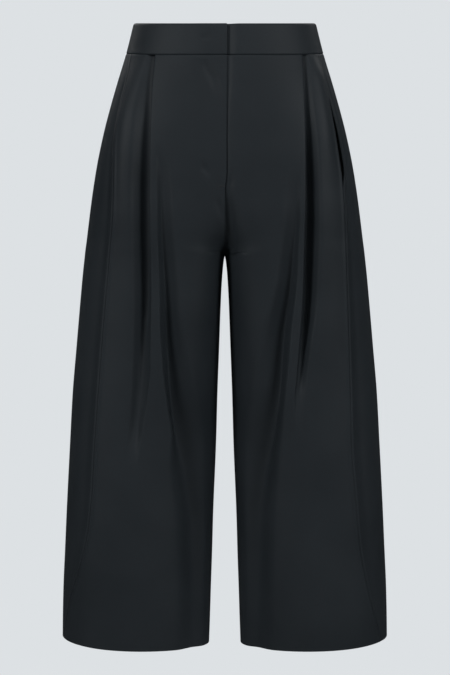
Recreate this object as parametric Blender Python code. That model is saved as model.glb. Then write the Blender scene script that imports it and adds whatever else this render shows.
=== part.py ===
"""Capri pants: high-waist, wide-leg cropped trousers with one knife pleat a side.

The garment is filled out and hollow.  Its front looks along -Y, the wearer's left is +X and the
origin is the middle of the waistband.  Sizes here are in millimetres; meshes are in metres.
Each half of the garment is a stack of half loops.  A half loop starts at the centre front (or,
on a leg, at the inseam), runs round the side and ends at the centre back (or the inseam again).
"""
import math
from collections import namedtuple

import bmesh
import bpy
import numpy as np

MM = 0.001

# Driving sizes
BAND_HEIGHT = 43.0
BAND_WALL = 2.4
CLOTH_WALL = 1.2
FACING_WALL = 1.0
SEAM_GAP = 0.3
HALF_GAP = SEAM_GAP / 2
FACING_CLEARANCE = 1.2
CROTCH_LEVEL = -311.0
HEM_LEVEL = -861.0
FLY_END = -222.0
POCKET_TOP = -40.0
POCKET_END = -222.0
FRONT_DIP = 0.173
DIP_ROUNDING = 15.0
DIP_END = -250.0
HEM_TILT = 2.5
HEM_TILT_START = -700.0
BAND_OVERLAP = 3.0
BAND_UNDERLAP = 36.0
LAP_LIFT = 0.6
LAP_SINK = 4.2
SEAM_FLAT = 3.0
STEEPEST_WALL = 2.2
BACK_CREASE = 0.55
SHARPEST_MITRE = 0.35

TOP = BAND_HEIGHT / 2
WAIST_SEAM = -BAND_HEIGHT / 2
PANEL_TOP = WAIST_SEAM - SEAM_GAP

# The body of one half by height: silhouette, line of its fullest front, innermost reach of the
# loop, depth before and behind the side, and how square the loop is (2 is an ellipse)
Section = namedtuple("Section", "level outer crease inner front back power")
SECTIONS = [
    Section(21.5, 130.3, 0, -130.3, 88, 93, 2.15),
    Section(-22, 141.0, 4, -141.0, 97, 99, 2.2),
    Section(-62, 152.7, 14, -152.7, 104, 113, 2.3),
    Section(-97, 162.3, 27, -162.0, 109, 123, 2.4),
    Section(-131, 170.7, 42, -168.0, 112, 130, 2.5),
    Section(-182, 181.2, 63, -168.0, 114, 134, 2.5),
    Section(-222, 187.6, 78, -140.0, 114, 131, 2.5),
    Section(-250, 191.4, 87, -98.0, 114, 127, 2.5),
    Section(-275, 194.6, 93, -54.0, 113, 122, 2.5),
    Section(-295, 197.2, 97, -20.0, 112, 118, 2.5),
    Section(CROTCH_LEVEL, 199.2, 100, HALF_GAP, 111, 115, 2.5),
    Section(-337, 202.0, 103, 3.4, 109, 112, 2.5),
    Section(-371, 205.1, 106, 5.4, 107, 109, 2.5),
    Section(-440, 211.0, 111, 8.6, 105, 106, 2.5),
    Section(-508, 216.5, 115, 12.0, 103, 103, 2.5),
    Section(-577, 219.9, 118, 13.3, 102, 102, 2.5),
    Section(-680, 224.8, 121, 17.0, 100, 100, 2.45),
    Section(-783, 229.2, 125, 20.3, 98, 99, 2.4),
    Section(-834, 230.4, 126, 21.9, 98, 98, 2.4),
    Section(HEM_LEVEL, 230.8, 127, 22.9, 97, 98, 2.4),
]

# Knife pleat: where its fold edge lies, how far the cloth turns back under it (less than 0
# where the fold has opened), the two layers' drops, and the trough beside the edge
Pleat = namedtuple("Pleat", "level edge turn drop root trough_at trough rise_at")
PLEATS = {
    "right": [
        Pleat(-22, 96.8, 24, 2.9, 3.4, 3, 3.4, 14),
        Pleat(-57, 99.4, 22, 2.9, 3.4, 3.5, 4, 14),
        Pleat(-95, 101.4, 18, 2.9, 3.5, 4, 4.8, 14),
        Pleat(-133, 103.2, 14, 2.9, 3.8, 4.5, 6, 15),
        Pleat(-180, 104.1, 9, 2.9, 4.4, 5.5, 7.5, 17),
        Pleat(-222, 104.0, 4, 2.9, 5, 6, 8.5, 18),
        Pleat(-280, 103.1, -2.5, 2.4, 6, 7, 8.5, 20),
        Pleat(-321, 100.4, -4, 1.8, 5.5, 9, 8, 24),
        Pleat(-376, 99.1, -5, 1.3, 4.2, 11, 6, 26),
        Pleat(-431, 97.8, -5, 0.9, 3, 13, 4.5, 28),
        Pleat(-486, 96.5, -6, 0.6, 2, 15, 3, 30),
        Pleat(-534, 102.0, -6, 0.3, 1, 14, 1.6, 30),
        Pleat(-600, 108.0, -6, 0, 0, 14, 0, 30),
        Pleat(HEM_LEVEL, 116.0, -6, 0, 0, 14, 0, 30),
    ],
    "left": [
        Pleat(-22, 108.9, 22, 2.9, 3.4, 3, 3.4, 12),
        Pleat(-58, 110.6, 20, 2.9, 3.4, 3.5, 4, 13),
        Pleat(-95, 111.3, 17, 2.9, 3.5, 4.5, 5, 14),
        Pleat(-133, 111.9, 14, 2.9, 3.9, 5.5, 6.5, 15),
        Pleat(-180, 111.7, 9, 2.9, 4.8, 7, 9, 18),
        Pleat(-224, 112.2, 4, 2.9, 5.8, 8, 10, 20),
        Pleat(-280, 111.9, -2.5, 2.8, 7, 9, 10.5, 22),
        Pleat(-321, 110.5, -4, 2.4, 6.5, 10, 9.5, 24),
        Pleat(-362, 109.3, -4, 2, 5.8, 10, 8.5, 24),
        Pleat(-403, 108.0, -4, 1.5, 4.6, 9, 7, 24),
        Pleat(-445, 103.8, -4, 1, 3.2, 8.5, 5, 24),
        Pleat(-486, 99.5, -4, 0.6, 1.8, 8, 3, 24),
        Pleat(-513, 96.0, -4, 0.3, 0.8, 8, 1.4, 24),
        Pleat(-565, 94.0, -4, 0, 0, 8, 0, 24),
        Pleat(HEM_LEVEL, 108.0, -4, 0, 0, 8, 0, 24),
    ],
}

# The soft trough that runs from the pleat down to the inner leg
Trough = namedtuple("Trough", "level across depth reach_in reach_out")
TROUGHS = {
    "right": [
        Trough(-22, 82, 0, 24, 12),
        Trough(-150, 90, 0, 20, 10),
        Trough(-225, 92.2, 1.5, 14, 8),
        Trough(-308, 88, 4, 16, 9),
        Trough(-376, 82.7, 6, 18, 11),
        Trough(-431, 76, 6.5, 22, 14),
        Trough(-479, 70.6, 6.5, 24, 16),
        Trough(-527, 61, 5.5, 26, 20),
        Trough(-569, 53, 4.5, 26, 24),
        Trough(-618, 44, 3, 20, 26),
        Trough(-700, 44, 0.8, 16, 26),
        Trough(HEM_LEVEL, 54, 0, 20, 26),
    ],
    "left": [
        Trough(-22, 90, 0, 26, 12),
        Trough(-190, 98, 0, 20, 8),
        Trough(-257, 98.5, 1.5, 16, 9),
        Trough(-308, 94, 3.5, 20, 10),
        Trough(-362, 87, 5.5, 24, 12),
        Trough(-431, 79, 6.8, 28, 15),
        Trough(-496, 71, 7, 30, 18),
        Trough(-543, 62, 6.5, 28, 21),
        Trough(-579, 54, 5.5, 26, 24),
        Trough(-626, 47, 4, 22, 26),
        Trough(-700, 44, 1.8, 18, 26),
        Trough(-770, 46, 0, 18, 26),
        Trough(HEM_LEVEL, 54, 0, 20, 26),
    ],
}

# The side seam: its place across the front, the ridge it is pressed to and the hollow behind it
SideSeam = namedtuple("SideSeam", "level across ridge hollow reach")
SIDE_SEAMS = {
    "right": [
        SideSeam(-22, 130.8, 0, 0.5, 14),
        SideSeam(-51, 134.3, 0.3, 1.2, 16),
        SideSeam(-95, 143.5, 0.8, 2.2, 20),
        SideSeam(-155, 150.6, 1.2, 3.2, 26),
        SideSeam(-208, 152.1, 1.5, 4, 30),
        SideSeam(-258, 153.6, 1.6, 4.6, 34),
        SideSeam(-314, 158.0, 1.8, 5, 38),
        SideSeam(-403, 165.8, 1.8, 5, 40),
        SideSeam(-514, 174.3, 1.8, 4.6, 40),
        SideSeam(-576, 178.5, 1.6, 4.2, 38),
        SideSeam(-680, 185.7, 1.4, 3.5, 34),
        SideSeam(-750, 200.4, 1.0, 2.2, 28),
        SideSeam(-801, 215.7, 0.6, 1, 20),
        SideSeam(HEM_LEVEL, 227.0, 0, 0, 16),
    ],
    "left": [
        SideSeam(-22, 134.6, 0, 0.5, 14),
        SideSeam(-58, 138.4, 0.4, 1, 16),
        SideSeam(-95, 144.9, 1.0, 1.6, 18),
        SideSeam(-162, 155.5, 1.6, 2.4, 22),
        SideSeam(-215, 162.2, 1.6, 3, 26),
        SideSeam(-258, 165.0, 1.5, 3.6, 30),
        SideSeam(-307, 166.8, 1.5, 4.2, 34),
        SideSeam(-403, 170.0, 1.5, 4.6, 38),
        SideSeam(-486, 172.0, 1.5, 4.6, 40),
        SideSeam(-576, 174.0, 1.6, 4.4, 40),
        SideSeam(-652, 179.5, 1.6, 4, 38),
        SideSeam(-707, 184.4, 1.4, 3.2, 36),
        SideSeam(-778, 197.5, 0.8, 2, 28),
        SideSeam(HEM_LEVEL, 219.0, 0, 0, 20),
    ],
}

# The pocket mouth in the side seam: how far its back edge stands off, and how far it sinks
PocketMouth = namedtuple("PocketMouth", "level gape sink")
POCKET_MOUTHS = {
    "right": [
        PocketMouth(PANEL_TOP, 0, 0),
        PocketMouth(POCKET_TOP, 0, 0),
        PocketMouth(-100, 1.2, 1.2),
        PocketMouth(-160, 1.8, 1.8),
        PocketMouth(POCKET_END, 0, 0),
        PocketMouth(HEM_LEVEL, 0, 0),
    ],
    "left": [
        PocketMouth(PANEL_TOP, 0, 0),
        PocketMouth(POCKET_TOP, 0, 0),
        PocketMouth(-82, 4.5, 2),
        PocketMouth(-134, 8, 3.5),
        PocketMouth(-182, 8, 4),
        PocketMouth(POCKET_END, 0, 0),
        PocketMouth(HEM_LEVEL, 0, 0),
    ],
}

# The fly: the right front's edge past the centre, where the left front starts, its step down
FlyLap = namedtuple("FlyLap", "level right_edge left_start left_sink")
FLY_LAPS = [
    FlyLap(PANEL_TOP, 3.0, -8, 1.7),
    FlyLap(-134, 2.3, -8, 1.7),
    FlyLap(-200, 2.3, -8, 1.7),
    FlyLap(-213, 1.3, 1.7, 1.7),
    FlyLap(FLY_END, -HALF_GAP, HALF_GAP, 0),
    FlyLap(HEM_LEVEL, -HALF_GAP, HALF_GAP, 0),
]
FLY_RISE = 7.0

BAND_LEVELS = [TOP, 7, -7, WAIST_SEAM]
PANEL_LEVELS = [
    PANEL_TOP, -45, -75, -108, -140, -170, -200, -213, FLY_END, -238, -255, -270, -284, -296,
    -305, CROTCH_LEVEL, -322, -345, -380, -430, -490, -560, -640, -720, -785, -830, HEM_LEVEL,
]

Finish = namedtuple("Finish", "colour roughness metallic")
CLOTH = Finish((0.021, 0.025, 0.028, 1), 0.85, 0.0)
FACING = Finish((0.014, 0.016, 0.018, 1), 0.9, 0.0)
ZIP_TAPE = Finish((0.012, 0.013, 0.014, 1), 0.7, 0.0)
NICKEL = Finish((0.55, 0.54, 0.52, 1), 0.3, 1.0)


def smooth_step(value):
    """Ease from 0 to 1 with level ends."""
    value = min(max(value, 0.0), 1.0)
    return value * value * (3 - 2 * value)


def read_row(rows, level, straight=False):
    """Read a table at any level, along monotone curves or straight between its rows."""
    places = np.array([-row.level for row in rows], float)
    at = min(max(-level, places[0]), places[-1])
    index = int(min(max(np.searchsorted(places, at) - 1, 0), len(places) - 2))
    step = np.diff(places)
    part = (at - places[index]) / step[index]
    values = []
    for column in range(1, len(rows[0])):
        heights = np.array([row[column] for row in rows], float)
        slopes = np.diff(heights) / step
        if straight:
            values.append(heights[index] + slopes[index] * step[index] * part)
            continue
        ends = [curve_slope(slopes, step, index), curve_slope(slopes, step, index + 1)]
        a, b = heights[index], heights[index + 1]
        rise = part * part * (3 - 2 * part)
        start = part * (1 - part) ** 2 * ends[0] * step[index]
        stop = part * part * (1 - part) * ends[1] * step[index]
        values.append(a + (b - a) * rise + start - stop)
    return type(rows[0])(level, *values)


def curve_slope(slopes, step, index):
    """Slope at a row that keeps the curve from overshooting either neighbour."""
    if index == 0:
        return slopes[0]
    if index == len(slopes):
        return slopes[-1]
    before, after = slopes[index - 1], slopes[index]
    if before * after <= 0:
        return 0.0
    weight_before = 2 * step[index] + step[index - 1]
    weight_after = step[index] + 2 * step[index - 1]
    return (weight_before + weight_after) / (weight_before / before + weight_after / after)


class HalfLoop:
    """One half of the garment at one level, measured along the cloth from its start."""

    STEPS = 720

    def __init__(self, level):
        self.level = level
        self.section = read_row(SECTIONS, level)
        section = self.section
        turn = np.linspace(-math.pi, math.pi, self.STEPS + 1)
        reach_out, reach_in = section.outer - section.crease, section.crease - section.inner
        reach = np.where(np.cos(turn) > 0, reach_out, reach_in)
        across = section.crease + self.bowed(np.cos(turn)) * reach
        forward = self.bowed(np.sin(turn)) * np.where(turn < 0, section.front, section.back)
        self.closed = section.inner < HALF_GAP - MM
        if self.closed:
            kept = across > HALF_GAP
            across, forward = across[kept], forward[kept]
            across = np.concatenate([[HALF_GAP], across, [HALF_GAP]])
            forward = np.concatenate([[forward[0]], forward, [forward[-1]]])
            front_lap = across < BAND_UNDERLAP + 2 * BAND_OVERLAP
            front_lap &= np.arange(len(across)) < len(across) // 2
            mirrored = slice(None, None, -1)
            lap_across = -across[front_lap][mirrored]
            lap_forward = forward[front_lap][mirrored]
            across = np.concatenate([lap_across, across])
            forward = np.concatenate([lap_forward, forward])
        run = np.hypot(np.diff(across), np.diff(forward))
        along = np.concatenate([[0], np.cumsum(run)])
        if self.closed:
            along -= np.interp(0, across[: len(across) // 2], along[: len(along) // 2])
            self.start = HALF_GAP
            self.end = along[-1]
        else:
            self.start = HALF_GAP
            self.end = along[-1] - HALF_GAP
        self.across, self.forward, self.along = across, forward, along
        slope_across = np.gradient(across, along + np.arange(len(along)) * 1e-9)
        slope_forward = np.gradient(forward, along + np.arange(len(along)) * 1e-9)
        length = np.hypot(slope_across, slope_forward)
        self.out_across = slope_forward / length
        self.out_forward = -slope_across / length
        self.side = int(np.argmax(across))

    def bowed(self, value):
        """Round or square a circle's coordinate to the section's power."""
        return np.sign(value) * np.abs(value) ** (2 / self.section.power)

    def place(self, across):
        """How far along the front the loop is this far across."""
        return float(np.interp(across, self.across[: self.side], self.along[: self.side]))

    def back_place(self, across):
        """How far along the loop's back is this far across."""
        back = slice(None, self.side, -1)
        return float(np.interp(across, self.across[back], self.along[back]))

    def point(self, along, lift=0.0):
        """A point on the cloth, lifted off it (or sunk, below 0), in millimetres."""
        x = float(np.interp(along, self.along, self.across))
        y = float(np.interp(along, self.along, self.forward))
        out_x = float(np.interp(along, self.along, self.out_across))
        out_y = float(np.interp(along, self.along, self.out_forward))
        height = self.level - self.waist_dip(y) + self.hem_tilt(x)
        return (x + out_x * lift, y + out_y * lift, height)

    def waist_dip(self, y):
        """The waistline runs lower in front."""
        fade = smooth_step((self.level - DIP_END) / (WAIST_SEAM - DIP_END))
        return FRONT_DIP * fade * (math.hypot(y, DIP_ROUNDING) - y) / 2

    def hem_tilt(self, x):
        """The hem runs a little higher at the outer side."""
        fade = smooth_step((HEM_TILT_START - self.level) / (HEM_TILT_START - HEM_LEVEL))
        middle = (self.section.outer + self.section.inner) / 2
        return HEM_TILT * fade * (x - middle) / (self.section.outer - middle)


def soft_dent(distance, reach_in, reach_out):
    """1 on the trough's line, easing to 0 at its reach on either side."""
    reach = reach_in if distance < 0 else reach_out
    return 1 - smooth_step(abs(distance) / reach)


def spread(first, last, count):
    """Places evenly between two others, without either of them."""
    return [first + (last - first) * k / (count + 1) for k in range(1, count + 1)]


def front_row(loop, side):
    """Points of a front panel at one level, from the fly or inseam to the side seam."""
    level = loop.level
    pleat = read_row(PLEATS[side], level)
    trough = read_row(TROUGHS[side], level)
    seam = read_row(SIDE_SEAMS[side], level)
    lap = read_row(FLY_LAPS, level, straight=True)
    edge = loop.place(pleat.edge)
    middle = loop.place(trough.across)
    last = loop.place(seam.across) - HALF_GAP
    fly_top = lap.right_edge + FLY_RISE
    if side == "left":
        first = lap.left_start if loop.closed else loop.start
        step_down = max(first + 1.0, lap.right_edge + 0.8)
        row = [(first, -lap.left_sink), (step_down, -lap.left_sink * 0.9)]
        row += [(step_down + FLY_RISE * 0.4, -lap.left_sink * 0.3), (fly_top + 4, 0)]
    else:
        first = -lap.right_edge if loop.closed else loop.start
        row = [(first, 0), (first + 5, 0), (fly_top + 4, 0)]
    dent_start = middle - trough.reach_in
    for along in spread(row[-1][0], dent_start, 5) + [dent_start]:
        row.append((along, 0))
    row += [(middle - trough.reach_in / 2, 0), (middle, 0), ((middle + edge) / 2, 0)]
    open_by = max(0.0, -pleat.turn)
    rise = edge + pleat.rise_at
    row += [
        (edge, 0),
        (edge + open_by / 2, -pleat.drop),
        (edge - pleat.turn, -(pleat.drop + (pleat.root - pleat.drop) * open_by / 8)),
        (edge - pleat.turn + open_by * 0.3, -pleat.root),
        (edge + pleat.trough_at, -pleat.trough),
        (edge + (pleat.trough_at + pleat.rise_at) / 2, -pleat.trough * 0.5),
        (rise, 0),
    ]
    row = [(along, lift - dent(trough, along - middle)) for along, lift in row]
    row += [(along, 0) for along in spread(rise, last - SEAM_FLAT * 2, 4)]
    row += [(last - SEAM_FLAT * 2, seam.ridge * 0.6)]
    row += [(last - SEAM_FLAT, seam.ridge), (last, seam.ridge)]
    return row


def dent(trough, distance):
    """How deep the soft trough is this far from its line."""
    return trough.depth * soft_dent(distance, trough.reach_in, trough.reach_out)


def back_row(loop, side):
    """Points of a back panel at one level, from the side seam to the centre back or inseam."""
    level = loop.level
    seam = read_row(SIDE_SEAMS[side], level)
    mouth = read_row(POCKET_MOUTHS[side], level)
    first = loop.place(seam.across) + HALF_GAP + mouth.gape
    deepest = first + SEAM_FLAT + seam.reach * 0.35
    flat = first + seam.reach + SEAM_FLAT
    edge_lift = seam.ridge - mouth.sink
    row = [
        (first, edge_lift),
        (first + SEAM_FLAT, edge_lift),
        (first + SEAM_FLAT + seam.reach * 0.12, edge_lift * 0.5 - seam.hollow * 0.5),
        (deepest, -seam.hollow - mouth.sink * 0.3),
        (first + seam.reach * 0.7, -seam.hollow * 0.45),
        (flat, 0),
    ]
    crease = loop.back_place(loop.section.outer * BACK_CREASE)
    row += [(along, 0) for along in spread(flat, crease, 9) + [crease]]
    row += [(along, 0) for along in spread(crease, loop.end, 8) + [loop.end]]
    return row


def band_row(loop, side):
    """Points of a half waistband at one level; the right half laps over the left at the front."""
    if side == "right":
        row = [(-BAND_OVERLAP, LAP_LIFT), (10, LAP_LIFT), (22, LAP_LIFT), (34, LAP_LIFT)]
    else:
        row = [(-BAND_UNDERLAP + 12 * k, -LAP_SINK) for k in range(4)]
        row += [(4, -LAP_SINK), (9, -LAP_SINK / 2), (15, 0), (30, 0)]
    row += [(along, 0) for along in spread(row[-1][0], loop.end, 21) + [loop.end]]
    return row


def facing_row(loop, side):
    """Points of the strip behind the pocket mouth, under both of its edges."""
    seam = read_row(SIDE_SEAMS[side], loop.level)
    mouth = read_row(POCKET_MOUTHS[side], loop.level)
    last_front = loop.place(seam.across)
    under_front = CLOTH_WALL + FACING_CLEARANCE
    under_back = seam.hollow + CLOTH_WALL + FACING_CLEARANCE
    first_back = last_front + mouth.gape
    row = [
        (last_front - 20, -under_front),
        (last_front - 8, -under_front),
        (last_front, -under_front + seam.ridge * 0.5),
        (first_back, -under_back - mouth.sink * 0.9),
        (first_back + 7, -under_back - mouth.sink * 0.9),
        (first_back + 14, -under_back - mouth.sink * 0.9),
    ]
    return row


def inner_row(row, walls):
    """The inner skin of one row: each place stepped in by its wall, mitred where it turns."""
    inside = [(row[0][0], row[0][1] - walls[0])]
    for before, here, after, wall in zip(row, row[1:], row[2:], walls[1:]):
        first = out_direction(before, here)
        second = out_direction(here, after)
        spread_out = max(1 + first[0] * second[0] + first[1] * second[1], SHARPEST_MITRE)
        step = [(a + b) / spread_out * wall for a, b in zip(first, second)]
        inside.append((here[0] - step[0], here[1] - step[1]))
    return inside + [(row[-1][0], row[-1][1] - walls[-1])]


def out_direction(start, stop):
    """The outward direction of a stretch of a row."""
    along, lift = stop[0] - start[0], stop[1] - start[1]
    length = math.hypot(along, lift)
    return (-lift / length, along / length)


def sloped_walls(outside, wall):
    """Wall of each point measured level, wider where the cloth leans, so it stays as thick."""
    grid = np.array(outside)
    down = np.gradient(grid, axis=0)
    along = np.gradient(grid, axis=1)
    normal = np.cross(down, along)
    length = np.linalg.norm(normal, axis=2)
    level_part = np.hypot(normal[:, :, 0], normal[:, :, 1])
    return wall * np.minimum(length / np.maximum(level_part, 1e-9), STEEPEST_WALL)


def cloth(name, loops, rows, wall, finish, side):
    """Make a piece of cloth from its rows: an outer skin, an inner skin and the rims."""
    outside = [[loop.point(*place) for place in row] for loop, row in zip(loops, rows)]
    walls = sloped_walls(outside, wall)
    inner_rows = [inner_row(row, row_walls) for row, row_walls in zip(rows, walls)]
    inside = [[loop.point(*place) for place in row] for loop, row in zip(loops, inner_rows)]
    flip = -MM if side == "right" else MM
    mesh = bmesh.new()
    outer = [[mesh.verts.new((x * flip, y * MM, z * MM)) for x, y, z in row] for row in outside]
    inner = [[mesh.verts.new((x * flip, y * MM, z * MM)) for x, y, z in row] for row in inside]
    add_skins(mesh, outer, inner)
    add_rim(mesh, inner[0], outer[0])
    add_rim(mesh, outer[-1], inner[-1])
    add_rim(mesh, [row[0] for row in outer], [row[0] for row in inner])
    add_rim(mesh, [row[-1] for row in inner], [row[-1] for row in outer])
    if side == "right":
        bmesh.ops.reverse_faces(mesh, faces=mesh.faces)
    data = bpy.data.meshes.new(name)
    mesh.to_mesh(data)
    mesh.free()
    data.shade_smooth()
    data.set_sharp_from_angle(angle=math.radians(50))
    data.materials.append(dye(finish, name))
    piece = bpy.data.objects.new(name, data)
    bpy.context.scene.collection.objects.link(piece)
    return piece


def add_skins(mesh, outer, inner):
    """Faces of the outer and inner skins, with the same shorter diagonals on both."""
    for row in range(len(outer) - 1):
        for k in range(len(outer[row]) - 1):
            across = (outer[row][k].co - outer[row + 1][k + 1].co).length
            back = (outer[row][k + 1].co - outer[row + 1][k].co).length
            for skin in (outer, inner):
                a, b = skin[row][k], skin[row][k + 1]
                c, d = skin[row + 1][k + 1], skin[row + 1][k]
                halves = [(a, d, c), (a, c, b)] if across < back else [(a, d, b), (b, d, c)]
                for half in halves:
                    mesh.faces.new(half if skin is outer else half[::-1])


def add_rim(mesh, first, second):
    """Faces between two edges of the skins."""
    for k in range(len(first) - 1):
        mesh.faces.new([first[k], second[k], second[k + 1], first[k + 1]])


def dye(finish, name):
    """A material for one piece."""
    material = bpy.data.materials.new(name)
    material.use_nodes = True
    shader = material.node_tree.nodes["Principled BSDF"]
    shader.inputs["Base Color"].default_value = finish.colour
    shader.inputs["Roughness"].default_value = finish.roughness
    shader.inputs["Metallic"].default_value = finish.metallic
    material.diffuse_color = finish.colour
    return material


def panel(name, levels, make_row, wall, finish, side):
    """Make a piece whose rows are worked out at each of its levels."""
    loops = [HalfLoop(level) for level in levels]
    rows = [make_row(loop, side) for loop in loops]
    return cloth(name, loops, rows, wall, finish, side)


def patch(name, levels, reach, lift, wall, finish):
    """Make a small strip that follows the cloth, from one place along it to another."""
    first, last = reach
    loops = [HalfLoop(level) for level in levels]
    row = [(along, lift) for along in [first] + spread(first, last, 2) + [last]]
    return cloth(name, loops, [row] * len(loops), wall, finish, "left")


def build_closures():
    """Zip behind the fly, hook behind the band's lap and bar on its underlap."""
    zip_levels = [PANEL_TOP - 2, -60, -100, -140, -180, FLY_END + 6]
    patch("fly_zip", zip_levels, (-15, 11), -3.6, FACING_WALL, ZIP_TAPE)
    patch("waist_hook", (7, -7), (-21, -9), -2.2, 0.6, NICKEL)
    patch("waist_bar", (3, -3), (-22, -8), -3.2, 0.5, NICKEL)


def main():
    """Clear the scene and build each piece."""
    for item in list(bpy.data.objects):
        bpy.data.objects.remove(item)
    mouth_levels = [POCKET_TOP + 4, -60, -90, -120, -150, -180, -204, POCKET_END - 6]
    for side in ("right", "left"):
        panel(f"waistband_{side}", BAND_LEVELS, band_row, BAND_WALL, CLOTH, side)
        panel(f"front_{side}", PANEL_LEVELS, front_row, CLOTH_WALL, CLOTH, side)
        panel(f"back_{side}", PANEL_LEVELS, back_row, CLOTH_WALL, CLOTH, side)
        facing_name = f"pocket_facing_{side}"
        panel(facing_name, mouth_levels, facing_row, FACING_WALL, FACING, side)
    build_closures()


main()
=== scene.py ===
"""Black wide-leg capri pants in matt suiting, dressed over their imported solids.

Sizes are in millimetres until a mesh is made.  Each half of the garment is a stack of half
loops: one loop starts at the centre front (or, on a leg, at the inseam), runs round the side and
ends at the centre back (or the inseam again).  A place on the cloth is a distance along its loop,
a level and a lift off the plain form.
"""
import logging
import math
from dataclasses import dataclass, field
from enum import Enum
from functools import lru_cache
from typing import Any, Iterable, Sequence

import bpy
import numpy as np
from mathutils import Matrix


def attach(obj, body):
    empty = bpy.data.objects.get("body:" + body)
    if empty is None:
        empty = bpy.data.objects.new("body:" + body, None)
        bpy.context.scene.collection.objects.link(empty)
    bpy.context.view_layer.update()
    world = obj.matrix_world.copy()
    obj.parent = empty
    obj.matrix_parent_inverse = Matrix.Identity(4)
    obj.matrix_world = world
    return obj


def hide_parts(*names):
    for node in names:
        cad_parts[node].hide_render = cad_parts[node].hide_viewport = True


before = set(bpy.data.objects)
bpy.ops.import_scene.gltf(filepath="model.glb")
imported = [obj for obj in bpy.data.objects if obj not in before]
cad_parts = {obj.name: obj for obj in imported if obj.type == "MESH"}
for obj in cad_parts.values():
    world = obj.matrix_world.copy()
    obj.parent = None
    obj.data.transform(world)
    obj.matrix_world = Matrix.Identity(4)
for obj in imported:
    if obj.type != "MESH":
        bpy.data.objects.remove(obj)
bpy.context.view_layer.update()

LOG = logging.getLogger("capri_pants")
MM = 0.001

# The photograph's frame
FRAME_HEIGHT_PX = 675
MM_PER_PIXEL = 1.43
CAMERA_DISTANCE = 2600.0
CAMERA_LEVEL = -427.5
CAMERA_SHIFT = 0.3
SENSOR_MM = 36.0

# Driving sizes
BAND_HEIGHT = 43.0
BAND_WALL = 2.4
CLOTH_WALL = 1.2
FACING_WALL = 1.0
CROTCH_LEVEL = -311.0
HEM_LEVEL = -861.0
HEM_TURN_UP = 30.0
FLY_END = -222.0
BARTACK_LEVEL = -219.5
BARTACK_LENGTH = 9.5
POCKET_TOP = -40.0
POCKET_END = -222.0
TOP = BAND_HEIGHT / 2
WAIST_SEAM = -BAND_HEIGHT / 2
HEM_TOP = HEM_LEVEL + HEM_TURN_UP

# The waistline runs down in front
FRONT_DIP = 0.173
DIP_ROUNDING = 15.0
DIP_END = -250.0

# The hem sags between its corners and runs up at the outer one
HEM_TILT_START = -700.0
HEM_TILT = 2.5
HEM_RISE = 1.2
HEM_SAG_OUTER = 6.5
HEM_SAG_INNER = 0.6
HEM_CORNER_RISE = 1.4

# Seams, laps and allowances; a fade ends at its own END level
HALF_GAP = 0.15
PANEL_TOP = WAIST_SEAM - 2 * HALF_GAP
FACING_CLEARANCE = 1.2
BAND_OVERLAP = 3.0
BAND_UNDERLAP = 36.0
LAP_LIFT = 0.6
LAP_EDGE_LIFT = 1.1
LAP_SINK = 4.2
ALLOWANCE = 3.0
ALLOWANCE_SINK = 2.4
UNDERLAP_END = CROTCH_LEVEL + 1
UNDERLAP_FADE = 7.0
FLY_RISE = 11.0
FLY_HOLLOW_END = -130.0
FLY_HOLLOW_FADE = 90.0
PLEAT_OPENING = 8.0
SEAM_FLAT = 3.0

# How the cloth is meshed
EDGE_ROWS = (0.7, 1.6, 3.0)
PANEL_LEVELS = (-200, -213, FLY_END, -303, -308, CROTCH_LEVEL + 0.4, CROTCH_LEVEL,
                HEM_TOP + 0.3, HEM_TOP - 0.3)
HOOK_LEVELS = (7, 6.6, 5.5, 3, 0, -3, -5.5, -6.6, -7)
BAR_LEVELS = (3, 2.7, 2, 0, -2, -2.7, -3)
STEEPEST_WALL = 2.2
SHARPEST_MITRE = 0.35
RIM_FULLNESS = 0.8
SHARP_ANGLE = math.radians(60)
BAR_SIDES = 8
TINY = 1e-9


class Side(Enum):
    """The wearer's side that a piece is cut for."""

    RIGHT = "right"
    LEFT = "left"

    @property
    def sign(self) -> int:
        """The side's direction along X."""
        return -1 if self is Side.RIGHT else 1


@dataclass(frozen=True)
class Section:
    """The plain form of one half at a level.

    It reaches across from inner to outer and is fullest in front at crease, with its own depth in
    front and at the back.  Power 2 is an ellipse and more is squarer; square and full are added
    to it at the inner front and at the outer front.
    """

    level: float
    outer: float
    crease: float
    inner: float
    front: float
    back: float
    power: float
    square: float
    full: float


@dataclass(frozen=True)
class Pleat:
    """A knife pleat at a level.

    Its fold edge turns back over the cloth by turn, which is below 0 where the pleat has opened,
    and the layers under it lie drop and root lower.  A trough of its own follows, whose places are
    measured from the edge.
    """

    level: float
    edge: float
    turn: float
    drop: float
    root: float
    trough_at: float
    trough: float
    rise_at: float


@dataclass(frozen=True)
class Trough:
    """The soft trough from the pleat to the inner leg, at a level."""

    level: float
    across: float
    depth: float
    reach_in: float
    reach_out: float


@dataclass(frozen=True)
class SideSeam:
    """The side seam at a level: its place, its pressed ridge and the hollow behind it."""

    level: float
    across: float
    ridge: float
    hollow: float
    reach: float


@dataclass(frozen=True)
class PocketMouth:
    """The pocket mouth in the side seam: how far its back edge stands off and sinks."""

    level: float
    gape: float
    sink: float


@dataclass(frozen=True)
class Dart:
    """The back dart at a level: its place across and the sink of its seam."""

    level: float
    across: float
    sink: float


@dataclass(frozen=True)
class FlyLap:
    """The fly at a level: the right front's edge past the middle and the left front's start."""

    level: float
    right_edge: float
    left_start: float


@dataclass(frozen=True)
class Crease:
    """A soft crease along a path of (across, level, depth), easing out over its reach.

    The depth is below 0 where the crease is a ridge.
    """

    reach: float
    path: tuple[tuple[float, float, float], ...]
    on_back: bool = False


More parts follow.
